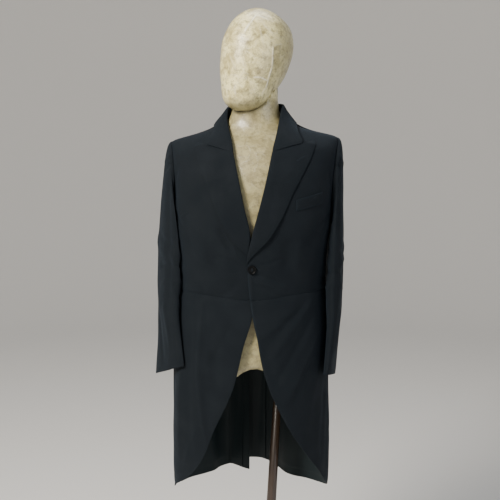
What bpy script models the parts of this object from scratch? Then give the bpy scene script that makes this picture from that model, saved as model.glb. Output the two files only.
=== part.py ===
# Morning coat worn by a limbless dress form that stands on a pole.
# The coat is cut like a real one: foreparts, side bodies and whole backs with a centre vent, skirts sewn on at
# the waist and cut away in front, peak lapels, a turned-down collar, and sleeves of two pieces each.
# Metres, +Z up. The coat's front faces -Y and the wearer's left is at +X. The origin is on the floor, under
# the middle of the coat. Angles go round the body from the centre front, 0, to the centre back, 180 degrees.

import math
from collections import namedtuple

import bmesh
import bpy
from mathutils import Vector

# Cloth
CLOTH = 0.0020          # thickness of the wool
LINING = 0.0010         # thickness of the satin
SEAM_GAP = 0.0003       # between pieces that are sewn together
TRIM = SEAM_GAP / 2     # taken off each border of a panel

# Lean of the figure: to the wearer's left above the waist, with that shoulder a little higher
LEAN_FROM = 1.0
LEAN = 0.030
SHOULDER_TILT = 0.024

# Fronts and vent
OVERLAP_LIFT = 0.0016   # the wearer's left lies this far out of the mean surface, the right this far in
VENT_TOP = 0.985
VENT_OVERLAP = 4.5      # degrees that the left tail reaches past the centre back
TAIL_SWING = 0.075      # how far the right tail's vent edge swings forward at the hem
PLEAT_TUCK = 0.0036     # how deep the skirt's rear edge lies under the back
PLEAT_START = 8.0       # degrees before the pleat's fold where the skirt starts to sink
PLEAT_REACH = 5.0       # degrees of skirt under the back

# Waist seam: dips in front
WAIST_FRONT = 1.0215
WAIST_SIDE = 1.0340

# Armhole, seen from the side
ARMHOLE_Y = 0.005
ARMHOLE_Z = 1.296
ARMHOLE_HALF_DEPTH = 0.066
ARMHOLE_HALF_HEIGHT = 0.106
# Places round the armhole, in degrees from its lowest point: up the front, under the arm and up the back.
# The panels and the sleeve share them, so the sewn edges meet all round.
ARM_FRONT = [-15.0, 7.0, 28.5, 50.0, 72.0, 93.5, 115.0, 126.0, 137.0, 158.5, 169.0, 180.0]
ARM_UNDER = [-15.0, -27.0, -39.0, -51.0, -63.0, -75.0]
ARM_BACK = [-75.0, -96.0, -117.0, -138.0, -159.0, -170.0, -180.0]

# Turned edges of lapels and collar
ROLL_RADIUS = 0.0035
ROLL_CENTRE = ROLL_RADIUS - CLOTH
LAPEL_STAND_OFF = 0.0035
NOTCH_SHARE = 0.600     # the collar meets the lapel along this share of its top edge
GORGE_BOW = 0.0030

STAND_START = 0.0015    # least height of the collar's stand
COLLAR_BULGE = 0.0030
COLLAR_STAND_OFF = 0.0023   # the collar's fall lies this much higher than the lapels'
SIDE_SEAM_ANGLE = 100.0
HIDDEN_ROLL = 0.30          # share of the right roll line that lies under the left front
NECK_FRONT_SHARE = 0.50     # share of the collar in front of the shoulder seams

# Shares of a piece's height or width where its grid lines run
FOREPART_ROWS_BELOW = 5     # from the waist to the underarm
UNDERARM_SHARE = 0.37
ROLL_START_SHARE = 0.222    # where the roll line starts on the forepart's front line
GORGE_SHARE = 0.79
BACK_WAIST_SHARE = 0.545
BACK_ARM_SHARE = 0.79
FOREPART_COLUMNS = [0.0, 0.06, 0.14, 0.23, 0.33, 0.44, 0.55, 0.66, 0.77, 0.88, 1.0]
SKIRT_FLAT_SHARE = 0.88     # where the pleat's strip begins on the skirt
SKIRT_COLUMNS = [0.0, 0.06, 0.12, 0.18, 0.24, 0.30, 0.36, 0.42, 0.48, 0.54, 0.60, 0.66, 0.72, 0.77, 0.83, 0.88, 0.94,
                 1.0]
SKIRT_ROWS = [0.0, 0.04, 0.11, 0.18, 0.26, 0.34, 0.42, 0.50, 0.58, 0.66, 0.74, 0.82, 0.91, 1.0]
BACK_COLUMNS = [0.0, 0.20, 0.34, 0.44, 0.55, 0.66, 0.77, 0.88, 1.0]
BACK_NECK_COLUMN = 3
SLEEVE_ROWS = [0.0, 0.03, 0.08, 0.15, 0.23, 0.32, 0.41, 0.50, 0.59, 0.68, 0.76, 0.84, 0.92, 1.0]
FOREARM_SEAM_TURN = 50.0
HINDARM_SEAM_TURN = -117.0

# Buttons
BUTTON_RADIUS = 0.0105
BUTTON_HEIGHT = 0.0042
BUTTON_X = 0.0050
BUTTON_Z = 1.0985
BUTTON_LIFT = 0.0005    # the thread's gap between the front button and the curved cloth
BACK_BUTTON_ANGLE = 165.5
BACK_BUTTON_Z = 1.045
BACK_BUTTON_LIFT = 0.0004   # the same behind, where the cloth is flatter

# Breast pocket welt
WELT_THICKNESS = 0.0016

# Sleeves
SLEEVE_CAP_END = 1.15   # the sleeve's head runs from the armhole to this height
SLEEVE_CAP_SHARE = 0.40
SLEEVE_CLEARANCE = 0.0030

# Dress form
NECK_X = 0.0125
NECK_Y = -0.002
NECK_RADIUS = 0.0555
NECK_TOP = 1.515
STUB_LEVEL = 0.790
ARCH_RISE = 0.069
ARCH_HALF_WIDTH = 0.085
ARCH_X = 0.012
HEAD_GAP = 0.0003

# Stand
POLE_FOOT_X = 0.0305
POLE_LEAN = math.radians(3.05)
POLE_FOOT = 0.010
POLE_LENGTH = 0.860
POLE_FOOT_RADIUS = 0.0160
POLE_TOP_RADIUS = 0.0095
POLE_GAP = 0.0003
BASE_RADIUS = 0.185

Section = namedtuple("Section", "z half_width front back front_corner back_corner")
SECTIONS = [
    Section(0.500, 0.197, 0.148, 0.190, 0.02, -0.22),
    Section(0.600, 0.200, 0.152, 0.180, 0.02, -0.20),
    Section(0.720, 0.199, 0.150, 0.165, 0.02, -0.10),
    Section(0.850, 0.195, 0.146, 0.148, 0.02, 0.00),
    Section(0.950, 0.189, 0.137, 0.133, 0.03, 0.03),
    Section(1.030, 0.182, 0.127, 0.115, 0.03, 0.04),
    Section(1.100, 0.185, 0.131, 0.116, 0.04, 0.05),
    Section(1.200, 0.196, 0.143, 0.130, 0.05, 0.06),
    Section(1.290, 0.203, 0.139, 0.133, 0.06, 0.07),
    Section(1.350, 0.207, 0.122, 0.126, 0.06, 0.07),
    Section(1.385, 0.208, 0.104, 0.113, 0.05, 0.06),
    Section(1.402, 0.203, 0.092, 0.102, 0.04, 0.05),
    Section(1.415, 0.160, 0.079, 0.090, 0.03, 0.03),
    Section(1.428, 0.112, 0.068, 0.082, 0.02, 0.02),
    Section(1.445, 0.086, 0.060, 0.075, 0.00, 0.00),
    Section(1.470, 0.070, 0.054, 0.070, 0.00, 0.00),
    Section(1.510, 0.064, 0.052, 0.068, 0.00, 0.00),
]

# Soft folds: a ridge or, below zero, a hollow along a line from one place on the coat to another
Fold = namedtuple("Fold", "top_angle top_z bottom_angle bottom_z half_width height")
FOLDS = [
    Fold(-38, 1.01, -38, 0.60, 0.020, 0.0055),
    Fold(-30, 0.93, -33, 0.70, 0.015, -0.0040),
    Fold(-62, 0.95, -66, 0.56, 0.024, 0.0045),
    Fold(-84, 0.80, -88, 0.54, 0.020, -0.0050),
    Fold(-112, 0.96, -116, 0.54, 0.022, 0.0060),
    Fold(-138, 0.90, -140, 0.52, 0.018, -0.0055),
    Fold(46, 0.99, 14, 0.86, 0.013, -0.0035),
    Fold(56, 1.00, 26, 0.76, 0.016, 0.0040),
    Fold(66, 0.90, 50, 0.66, 0.018, -0.0040),
    Fold(88, 1.10, 88, 0.95, 0.034, 0.0050),
    Fold(88, 0.93, 84, 0.54, 0.022, 0.0050),
    Fold(116, 0.96, 120, 0.52, 0.022, 0.0060),
    Fold(139, 0.88, 142, 0.52, 0.018, -0.0050),
    Fold(171, 0.92, 172, 0.53, 0.013, 0.0040),
    Fold(-24, 1.19, -50, 1.09, 0.018, 0.0030),
    Fold(22, 1.16, 52, 1.08, 0.018, 0.0030),
    Fold(118, 1.20, 142, 1.10, 0.020, -0.0030),
    Fold(-118, 1.20, -142, 1.10, 0.020, -0.0030),
]

# Places on the fronts seen from the front: across the body and up
Place = namedtuple("Place", "x z")
LEFT_EDGE = [
    Place(-0.0075, 1.112), Place(-0.0052, 1.068), Place(-0.0017, 1.036), Place(0.0015, 1.008),
    Place(0.0062, 0.975), Place(0.0174, 0.933), Place(0.0279, 0.863), Place(0.0421, 0.820),
    Place(0.0564, 0.779), Place(0.0742, 0.742), Place(0.0993, 0.695), Place(0.1252, 0.654),
    Place(0.1556, 0.606), Place(0.1800, 0.564), Place(0.1895, 0.541),
]
RIGHT_EDGE = [
    Place(0.0100, 1.150), Place(0.0170, 1.112), Place(0.0170, 1.068), Place(0.0150, 1.036), Place(0.0120, 1.008),
    Place(0.0055, 0.975), Place(-0.0174, 0.912), Place(-0.0315, 0.841), Place(-0.0528, 0.780),
    Place(-0.0779, 0.731), Place(-0.0994, 0.681), Place(-0.1100, 0.640), Place(-0.1367, 0.600),
    Place(-0.1699, 0.562), Place(-0.1970, 0.526),
]
LEFT_CREASE = [
    Place(0.0585, 1.400), Place(0.0625, 1.415), Place(0.0655, 1.4275), Place(0.0710, 1.450), Place(0.0776, 1.478),
]
RIGHT_CREASE = [
    Place(-0.0420, 1.400), Place(-0.0458, 1.415), Place(-0.0490, 1.4275), Place(-0.0550, 1.450),
    Place(-0.0610, 1.478),
]
LEFT_ROLL = [
    Place(-0.0071, 1.117), Place(0.0030, 1.175), Place(0.0187, 1.234), Place(0.0349, 1.298), Place(0.0516, 1.373),
]
RIGHT_ROLL = [
    Place(-0.0095, 1.117), Place(0.0018, 1.175), Place(-0.0117, 1.241), Place(-0.0280, 1.322), Place(-0.0385, 1.373),
]
LEFT_LAPEL = [
    Place(0.0010, 1.117), Place(0.0275, 1.146), Place(0.0445, 1.174), Place(0.0686, 1.212), Place(0.0858, 1.245),
    Place(0.1029, 1.282), Place(0.1202, 1.312), Place(0.1436, 1.354), Place(0.1580, 1.395),
]
RIGHT_LAPEL = [
    Place(-0.0180, 1.117), Place(-0.0300, 1.145), Place(-0.0474, 1.180), Place(-0.0637, 1.206),
    Place(-0.0810, 1.245), Place(-0.0960, 1.282), Place(-0.1110, 1.320), Place(-0.1260, 1.360),
    Place(-0.1329, 1.398),
]

# Hem, from the cutaway's tip round to the centre back
Level = namedtuple("Level", "angle z")
LEFT_HEM = [Level(76, 0.538), Level(90, 0.514), Level(105, 0.504), Level(130, 0.500), Level(150, 0.508),
            Level(165, 0.517), Level(185, 0.518)]
RIGHT_HEM = [Level(78, 0.526), Level(90, 0.512), Level(105, 0.505), Level(130, 0.508), Level(150, 0.511),
             Level(165, 0.513), Level(185, 0.509)]

# Seam between side body and back, then the pleat below the waist
PLEAT = [Level(157.0, 0.500), Level(158.5, 0.800), Level(160.0, WAIST_SIDE)]
BACK_SEAM = [Level(160.0, WAIST_SIDE), Level(157.5, 1.100), Level(149.0, 1.180), Level(135.0, 1.240)]

# Collar, round the neck to the centre back: its crease behind the fronts, its outer edge and its neck seam
CREASE = [Level(100.0, 1.4820), Level(180.0, 1.4880)]
COLLAR_EDGE = [Level(35.5, 1.4110), Level(46.0, 1.4230), Level(72.0, 1.4325), Level(92.0, 1.4360),
               Level(118.0, 1.4385), Level(180.0, 1.4450)]
NECK_SEAM_FRONT = [Level(29.0, 1.4200), Level(46.0, 1.4400), Level(68.0, 1.4510), Level(91.0, 1.4530)]
NECK_SEAM_BACK = [Level(91.0, 1.4530), Level(130.0, 1.4540), Level(180.0, 1.4560)]

WELT_CORNERS = [Place(0.1082, 1.2360), Place(0.1720, 1.2505), Place(0.1720, 1.2770), Place(0.1082, 1.2615)]

# Sleeves hang empty and flat beside the body: out is the distance from the coat's middle
SleeveRow = namedtuple("SleeveRow", "z out y half_width half_depth twist")
LEFT_SLEEVE = [
    SleeveRow(1.150, 0.2115, 0.003, 0.0235, 0.080, 4),
    SleeveRow(1.060, 0.2108, 0.005, 0.0235, 0.078, 4),
    SleeveRow(0.980, 0.2100, 0.000, 0.0215, 0.074, 5),
    SleeveRow(0.900, 0.2045, -0.012, 0.0190, 0.071, 7),
    SleeveRow(0.818, 0.1990, -0.030, 0.0145, 0.070, 11),
]
RIGHT_SLEEVE = [
    SleeveRow(1.150, 0.1915, 0.000, 0.0350, 0.076, 18),
    SleeveRow(1.060, 0.1955, 0.002, 0.0330, 0.073, 21),
    SleeveRow(0.980, 0.2000, -0.010, 0.0285, 0.068, 19),
    SleeveRow(0.900, 0.1985, -0.028, 0.0220, 0.068, 29),
    SleeveRow(0.831, 0.1990, -0.042, 0.0150, 0.068, 37),
]
CUFF_SLANT = {1: 0.015, -1: 0.024}

# Space between the coat's outer surface and the form inside it
Inset = namedtuple("Inset", "z depth")
FORM_INSET = [Inset(0.780, 0.028), Inset(0.900, 0.024), Inset(1.030, 0.020), Inset(1.200, 0.014),
              Inset(1.300, 0.012), Inset(1.360, 0.0100), Inset(1.385, 0.0100), Inset(1.415, 0.0088),
              Inset(1.440, 0.0070)]
BLADE_INSET = 0.0056    # more behind the shoulders, where the cloth lies flatter

FORM_LEVELS = [0.790, 0.835, 0.890, 0.960, 1.030, 1.100, 1.170, 1.240, 1.300, 1.345, 1.375, 1.392, 1.403, 1.412,
               1.420, 1.430, 1.444, 1.465, NECK_TOP]
ARCH_REACH = 0.14       # the arch's pull on the rings above it ends this far up

HeadRow = namedtuple("HeadRow", "z x y half_width half_depth")
HEAD = [
    HeadRow(1.4700, -0.0120, -0.040, 0.020, 0.022),
    HeadRow(1.4760, -0.0120, -0.037, 0.036, 0.041),
    HeadRow(1.4900, -0.0100, -0.031, 0.050, 0.060),
    HeadRow(1.5100, -0.0050, -0.024, 0.060, 0.074),
    HeadRow(1.5370, 0.0034, -0.015, 0.069, 0.086),
    HeadRow(1.5630, 0.0090, -0.010, 0.077, 0.095),
    HeadRow(1.5890, 0.0143, -0.006, 0.082, 0.100),
    HeadRow(1.6220, 0.0189, -0.003, 0.084, 0.102),
    HeadRow(1.6500, 0.0214, -0.001, 0.080, 0.098),
    HeadRow(1.6760, 0.0226, 0.000, 0.068, 0.085),
    HeadRow(1.6970, 0.0210, 0.000, 0.048, 0.062),
    HeadRow(1.7090, 0.0185, 0.000, 0.030, 0.038),
    HeadRow(1.7150, 0.0165, 0.000, 0.012, 0.015),
]
HEAD_TURN = math.radians(-32)

WOOL = ("wool", (0.012, 0.015, 0.020), 0.85)
SATIN = ("satin", (0.006, 0.006, 0.008), 0.35)
HORN = ("horn", (0.010, 0.010, 0.011), 0.40)
PAPER = ("papier mache", (0.60, 0.54, 0.38), 0.60)
WOOD = ("wood", (0.15, 0.075, 0.040), 0.50)


def soft_step(start, end, value):
    share = min(1.0, max(0.0, (value - start) / (end - start)))
    return share * share * (3.0 - 2.0 * share)


class Curve:
    # Monotone cubic through the given values, straight on beyond its ends.

    def __init__(self, places, values):
        self.places = list(places)
        self.values = list(values)
        count = len(self.places)
        steps = [self.places[i + 1] - self.places[i] for i in range(count - 1)]
        rises = [(self.values[i + 1] - self.values[i]) / steps[i] for i in range(count - 1)]
        slopes = [rises[0]]
        for i in range(1, count - 1):
            if rises[i - 1] * rises[i] <= 0.0:
                slopes.append(0.0)
                continue
            near = 2.0 * steps[i] + steps[i - 1]
            far = steps[i] + 2.0 * steps[i - 1]
            slopes.append((near + far) / (near / rises[i - 1] + far / rises[i]))
        slopes.append(rises[-1])
        self.steps = steps
        self.slopes = slopes

    def __call__(self, place):
        places, values, slopes = self.places, self.values, self.slopes
        if place <= places[0]:
            return values[0] + slopes[0] * (place - places[0])
        if place >= places[-1]:
            return values[-1] + slopes[-1] * (place - places[-1])
        i = 0
        while place > places[i + 1]:
            i += 1
        step = self.steps[i]
        t = (place - places[i]) / step
        left = values[i] * (1 + 2 * t) * (1 - t) ** 2 + step * slopes[i] * t * (1 - t) ** 2
        return left + values[i + 1] * t * t * (3 - 2 * t) + step * slopes[i + 1] * t * t * (t - 1)


def column(rows, key, value):
    return Curve([getattr(row, key) for row in rows], [getattr(row, value) for row in rows])


FORM_DEPTH = column(FORM_INSET, "z", "depth")
SHAPE = {name: column(SECTIONS, "z", name) for name in Section._fields[1:]}


def body_point(angle, z):
    # The coat's mean outer surface, plain, at an angle round the body and a height.
    sine = math.sin(math.radians(angle))
    cosine = math.cos(math.radians(angle))
    face = "front" if cosine > 0 else "back"
    swell = 1.0 + SHAPE[face + "_corner"](z) * (2.0 * sine * cosine) ** 2
    x = LEAN * max(0.0, z - LEAN_FROM) + SHAPE["half_width"](z) * sine * swell
    y = -SHAPE[face](z) * cosine * swell
    return Vector((x, y, z + SHOULDER_TILT * x * soft_step(1.10, 1.38, z)))


def fold_height(angle, z):
    # Sum of the soft folds at a place. Distances are taken on a mean body radius.
    radius = SHAPE["half_width"](z)
    total = 0.0
    for fold in FOLDS:
        share = (fold.top_z - z) / (fold.top_z - fold.bottom_z)
        if share < -0.25 or share > 1.30:
            continue
        middle = fold.top_angle + (fold.bottom_angle - fold.top_angle) * share
        away = math.radians(angle - middle) * radius / fold.half_width
        if abs(away) > 3.0:
            continue
        ends = soft_step(-0.25, 0.15, share) * (1.0 - soft_step(0.95, 1.30, share))
        total += fold.height * ends * math.exp(-away * away)
    return total


def coat_mean(side, angle, z):
    # Mean outer surface with its folds. The right tail swings forward from its pleat to its vent edge.
    point = body_point(side * angle, z)
    radians = math.radians(side * angle)
    height = fold_height(side * angle, z)
    point += height * Vector((math.sin(radians), -math.cos(radians), 0.0))
    if side < 0 and angle > 150.0:
        point.y -= TAIL_SWING * soft_step(0.90, 0.48, z) * soft_step(156.0, 183.0, angle)
    return point


def coat_normal(side, angle, z):
    across = coat_mean(side, angle + 0.6, z) - coat_mean(side, angle - 0.6, z)
    up = coat_mean(side, angle, z + 0.002) - coat_mean(side, angle, z - 0.002)
    return (side * across.cross(up)).normalized()


def overlap_lift(side, angle, z):
    # The wearer's left lies over the right at the fronts and at the vent.
    front = (1.0 - soft_step(8.0, 34.0, abs(angle)))
    front *= soft_step(0.86, 0.95, z) * (1.0 - soft_step(1.20, 1.27, z))
    vent = soft_step(162.0, 174.0, angle) * soft_step(1.03, 0.99, z)
    return side * OVERLAP_LIFT * (front + vent)


def coat_point(side, angle, z, lift):
    normal = coat_normal(side, angle, z)
    return coat_mean(side, angle, z) + normal * (lift + overlap_lift(side, angle, z)), normal


def front_angle(side, place):
    # Angle, positive on the piece's own side, of a place that is given as seen from the front.
    z = place.z
    x = side * (place.x - LEAN * max(0.0, z - LEAN_FROM))
    share = max(-1.0, min(1.0, x / SHAPE["half_width"](z)))
    angle = math.degrees(math.asin(share))
    for _ in range(6):
        doubled = math.sin(2.0 * math.radians(angle))
        swell = 1.0 + SHAPE["front_corner"](z) * doubled ** 2
        angle = math.degrees(math.asin(max(-1.0, min(1.0, share / swell))))
    return angle


def waist_z(angle):
    return WAIST_FRONT + (WAIST_SIDE - WAIST_FRONT) * soft_step(0.0, 40.0, abs(angle))


def armhole(turn):
    # A place on the armhole: 0 is its lowest point, 90 its front, 180 the shoulder tip, -90 its back.
    radians = math.radians(turn)
    y = ARMHOLE_Y - ARMHOLE_HALF_DEPTH * math.sin(radians)
    z = ARMHOLE_Z - ARMHOLE_HALF_HEIGHT * math.cos(radians)
    face = "front" if y < 0 else "back"
    angle = 90.0
    for _ in range(8):
        doubled = math.sin(2.0 * math.radians(angle))
        swell = 1.0 + SHAPE[face + "_corner"](z) * doubled ** 2
        angle = math.degrees(math.acos(max(-1.0, min(1.0, -y / (SHAPE[face](z) * swell)))))
    return angle, z


def route(places, side=1):
    # A smooth line through places given as (angle, z), read by its share of length.
    lengths = [0.0]
    for near, far in zip(places, places[1:]):
        lengths.append(lengths[-1] + (body_point(side * far[0], far[1]) - body_point(side * near[0], near[1])).length)
    shares = [length / lengths[-1] for length in lengths]
    angles = Curve(shares, [place[0] for place in places])
    heights = Curve(shares, [place[1] for place in places])
    return lambda share: (angles(share), heights(share))


def joined(first, second, share_of_first):
    # Two lines end to end, with a corner that stays at the given share.
    def place(share):
        if share <= share_of_first:
            return first(share / share_of_first)
        return second((share - share_of_first) / (1.0 - share_of_first))
    return place


def patch(bottom, top, left, right):
    # A four-sided piece of the coat, filled in between its border lines.
    corners = [left(0.0), right(0.0), left(1.0), right(1.0)]

    def place(s, t):
        values = []
        for axis in (0, 1):
            sides = (1 - t) * bottom(s)[axis] + t * top(s)[axis] + (1 - s) * left(t)[axis] + s * right(t)[axis]
            low = (1 - s) * corners[0][axis] + s * corners[1][axis]
            high = (1 - s) * corners[2][axis] + s * corners[3][axis]
            values.append(sides - (1 - t) * low - t * high)
        return tuple(values)
    return place


def add_object(name, bm, finish):
    # Every piece has a plain material of its own.
    label, colour, roughness = finish
    mesh = bpy.data.meshes.new(name)
    bm.to_mesh(mesh)
    bm.free()
    material = bpy.data.materials.new(f"{name} {label}")
    material.use_nodes = True
    shader = material.node_tree.nodes["Principled BSDF"]
    shader.inputs["Base Color"].default_value = (*colour, 1.0)
    shader.inputs["Roughness"].default_value = roughness
    mesh.materials.append(material)
    mesh.shade_smooth()
    mesh.set_sharp_from_angle(angle=math.radians(40))
    obj = bpy.data.objects.new(name, mesh)
    bpy.context.scene.collection.objects.link(obj)
    return obj


def add_wall(name, frames, thickness, finish, flipped):
    # A closed cloth wall from a grid of (point, normal): the outer face, the inner face and four rims.
    bm = bmesh.new()
    outer = [[bm.verts.new(point) for point, _ in row] for row in frames]
    inner = [[bm.verts.new(point - normal * thickness) for point, normal in row] for row in frames]
    rows = len(frames) - 1
    columns = len(frames[0]) - 1

    def face(*corners):
        bm.faces.new(reversed(corners) if flipped else corners)

    for j in range(rows):
        for i in range(columns):
            face(outer[j][i], outer[j][i + 1], outer[j + 1][i + 1], outer[j + 1][i])
            face(inner[j][i], inner[j + 1][i], inner[j + 1][i + 1], inner[j][i + 1])
    for i in range(columns):
        face(outer[0][i], inner[0][i], inner[0][i + 1], outer[0][i + 1])
        face(outer[rows][i], outer[rows][i + 1], inner[rows][i + 1], inner[rows][i])
    for j in range(rows):
        face(outer[j][0], outer[j + 1][0], inner[j + 1][0], inner[j][0])
        face(outer[j][columns], inner[j][columns], inner[j + 1][columns], outer[j + 1][columns])
    return add_object(name, bm, finish)


def trimmed(shares, index, length):
    # Moves the first and last line of a grid in from the border.
    last = len(shares) - 1
    if index == 0:
        return shares[0] + TRIM / length
    if index == last:
        return shares[last] - TRIM / length
    return shares[index]


def even(count, start=0.0, end=1.0):
    return [start + (end - start) * i / count for i in range(count + 1)]


def panel_frames(side, place, s_shares, t_shares, lift=None):
    # The grid of a piece of the coat's body: place(s, t) gives angle and z, lift the height over the surface.
    def mean(s, t):
        return coat_mean(side, *place(s, t))

    frames = []
    for j, t in enumerate(t_shares):
        row = []
        for i, s in enumerate(s_shares):
            width = max(0.02, (mean(min(1.0, s + 0.01), t) - mean(max(0.0, s - 0.01), t)).length * 50)
            height = max(0.02, (mean(s, min(1.0, t + 0.01)) - mean(s, max(0.0, t - 0.01))).length * 50)
            angle, z = place(trimmed(s_shares, i, width), trimmed(t_shares, j, height))
            row.append(coat_point(side, angle, z, lift(angle, z) if lift else 0.0))
        frames.append(row)
    return frames


def add_panel(name, side, frames):
    add_wall(name, frames, CLOTH, WOOL, flipped=side < 0)


def add_lining(name, side, frames):
    # The satin lies just inside the cloth, on the same grid.
    inside = [[(point - normal * (CLOTH + SEAM_GAP), normal) for point, normal in row] for row in frames]
    add_wall(name, inside, LINING, SATIN, flipped=side < 0)


def on_front(side, places):
    return [(front_angle(side, place), place.z) for place in places]


def levels(rows):
    return [(row.angle, row.z) for row in rows]


def set_back(side, places, distance):
    # The same line, moved away from the front opening along the coat's surface.
    moved = []
    for angle, z in places:
        ahead = body_point(side * (angle + 1.0), z) - body_point(side * (angle - 1.0), z)
        moved.append((angle + 2.0 * distance / ahead.length, z))
    return moved


class FrontLines:
    # The lines that the fronts, the lapel and the collar of one side share.

    def __init__(self, side):
        roll = on_front(side, LEFT_ROLL if side > 0 else RIGHT_ROLL)
        edge = on_front(side, LEFT_EDGE if side > 0 else RIGHT_EDGE)[::-1]
        crease = on_front(side, LEFT_CREASE if side > 0 else RIGHT_CREASE)
        lapel_fold = set_back(side, roll, ROLL_RADIUS)
        seam_start = set_back(side, roll[-1:], ROLL_RADIUS + STAND_START)
        edge_angle = Curve([place[1] for place in edge], [place[0] for place in edge])
        waist = (edge_angle(WAIST_FRONT), waist_z(edge_angle(WAIST_FRONT)))
        above = [place for place in edge if place[1] > waist[1] + 0.005]
        below = [place for place in edge if place[1] < waist[1] - 0.005]
        self.fold = route(lapel_fold, side)
        self.lapel_edge = route(on_front(side, LEFT_LAPEL if side > 0 else RIGHT_LAPEL), side)
        self.skirt = route(below + [waist], side)
        self.neck_front = route(seam_start + levels(NECK_SEAM_FRONT), side)
        self.neck_back = route(levels(NECK_SEAM_BACK), side)
        self.crease = route(lapel_fold[-1:] + set_back(side, crease + levels(CREASE), ROLL_RADIUS), side)
        self.collar_edge = route([self.gorge(NOTCH_SHARE)] + levels(COLLAR_EDGE), side)
        # The right front runs on under the left, so its roll line shows only above the buttoned part.
        first = 0.0 if side > 0 else HIDDEN_ROLL
        low = route([waist] + above + [self.fold(first)], side)
        rolled = joined(low, lambda share: self.fold(first + (1.0 - first) * share), ROLL_START_SHARE / GORGE_SHARE)
        self.forepart = joined(rolled, self.neck_front, GORGE_SHARE)

    def gorge(self, share):
        # The lapel's top edge: the collar is sewn to it as far as the notch, and the peak goes on from there.
        start, end = self.fold(1.0), self.lapel_edge(1.0)
        bow = GORGE_BOW * math.sin(math.pi * share)
        return start[0] + (end[0] - start[0]) * share, start[1] + (end[1] - start[1]) * share + bow

    def neck_seam(self, share):
        # From the gorge round to the centre back.
        if share <= NECK_FRONT_SHARE:
            return self.neck_front(share / NECK_FRONT_SHARE)
        return self.neck_back((share - NECK_FRONT_SHARE) / (1.0 - NECK_FRONT_SHARE))


def between(start, end, share):
    return start[0] + (end[0] - start[0]) * share, start[1] + (end[1] - start[1]) * share


def turned_edge(side, fold_line, share, fall, stand, first_turn, rows):
    # One profile across a turned piece: up the stand, round the fold and down the fall.
    # fall(s) gives the place and the height over the coat, and stand is the stand's lower end or None.
    near = fold_line(max(0.0, share - 0.01))
    far = fold_line(min(1.0, share + 0.01))
    fold = fold_line(share)
    centre, normal = coat_point(side, *fold, ROLL_CENTRE)
    run = coat_mean(side, *far) - coat_mean(side, *near)
    out = normal.cross(run).normalized()
    edge_place, _ = fall(1.0)
    if out.dot(coat_mean(side, *fold) - coat_mean(side, *edge_place)) < 0:
        out = -out
    profile = []
    if stand:
        for i in range(rows["stand"]):
            point, up = coat_point(side, *between(stand, fold, i / rows["stand"]), -CLOTH)
            profile.append((point + out * 3.0 * SEAM_GAP, -up))
    centre = centre + out * SEAM_GAP
    for turn in even(rows["fold"], first_turn, 90.0):
        radians = math.radians(turn)
        ray = out * math.cos(radians) + normal * math.sin(radians)
        profile.append((centre + ray * ROLL_RADIUS, ray))
    for s in even(rows["fall"])[1:]:
        place, height = fall(s)
        profile.append(coat_point(side, *place, 2.0 * ROLL_RADIUS - CLOTH + height))
    return profile


def add_lapel(name, side, lines):
    rows = {"stand": 0, "fold": 4, "fall": 4}
    frames = []
    steps = even(15)
    for j, share in enumerate(steps):
        share = trimmed(steps, j, 0.28) if j else 0.0
        z = lines.fold(share)[1]
        # Under the wearer's left front, the right lapel lies wholly on its forepart.
        first_turn = -90.0 if side > 0 else -90.0 + 82.0 * soft_step(1.215, 1.192, z)

        def fall(s, share=share):
            angle, height = between(lines.fold(share), lines.lapel_edge(share), s)
            top = soft_step(0.80, 1.0, share)
            stand_off = LAPEL_STAND_OFF * s * math.sin(math.pi * min(1.0, share * 1.05)) ** 0.7
            return (angle, height + GORGE_BOW * math.sin(math.pi * s) * top), stand_off

        frames.append(turned_edge(side, lines.fold, share, fall, None, first_turn, rows))
    return add_wall(name, frames, CLOTH, WOOL, flipped=side < 0)


def collar_shares():
    # The collar's grid lines meet those of the fronts and the backs at the neck seam.
    front = [(share - GORGE_SHARE) / (1.0 - GORGE_SHARE) for share in forepart_rows()]
    neck = BACK_COLUMNS[BACK_NECK_COLUMN]
    back = [(share - neck) / (1.0 - neck) for share in BACK_COLUMNS]
    shares = [NECK_FRONT_SHARE * share for share in front if share > 0.01]
    shares += [NECK_FRONT_SHARE + (1.0 - NECK_FRONT_SHARE) * share for share in back if share > 0.01]
    return [0.0] + shares


def add_collar(name, lines):
    rows = {"stand": 2, "fold": 4, "fall": 4}
    frames = []
    steps = collar_shares()
    for side, shares in ((1, steps), (-1, steps[-2::-1])):
        for share in shares:
            at = max(share, 2.0 * TRIM / 0.25)
            line = lines[side]

            def fall(s, share=share, at=at, line=line):
                place = between(line.crease(at), line.collar_edge(at), s)
                near_gorge = 1.0 - soft_step(0.0, 0.16, share)
                along_gorge = line.gorge(s * NOTCH_SHARE)
                place = between(place, (along_gorge[0], along_gorge[1] + 2.0 * SEAM_GAP), near_gorge)
                raised = COLLAR_STAND_OFF * soft_step(0.0, 0.5, s) * soft_step(0.0, 0.4, share)
                return place, raised + COLLAR_BULGE * math.sin(math.pi * s) * soft_step(0.15, 0.5, share)

            frames.append(turned_edge(side, line.crease, at, fall, line.neck_seam(at), -90.0, rows))
    return add_wall(name, frames, CLOTH, WOOL, flipped=False)


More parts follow.
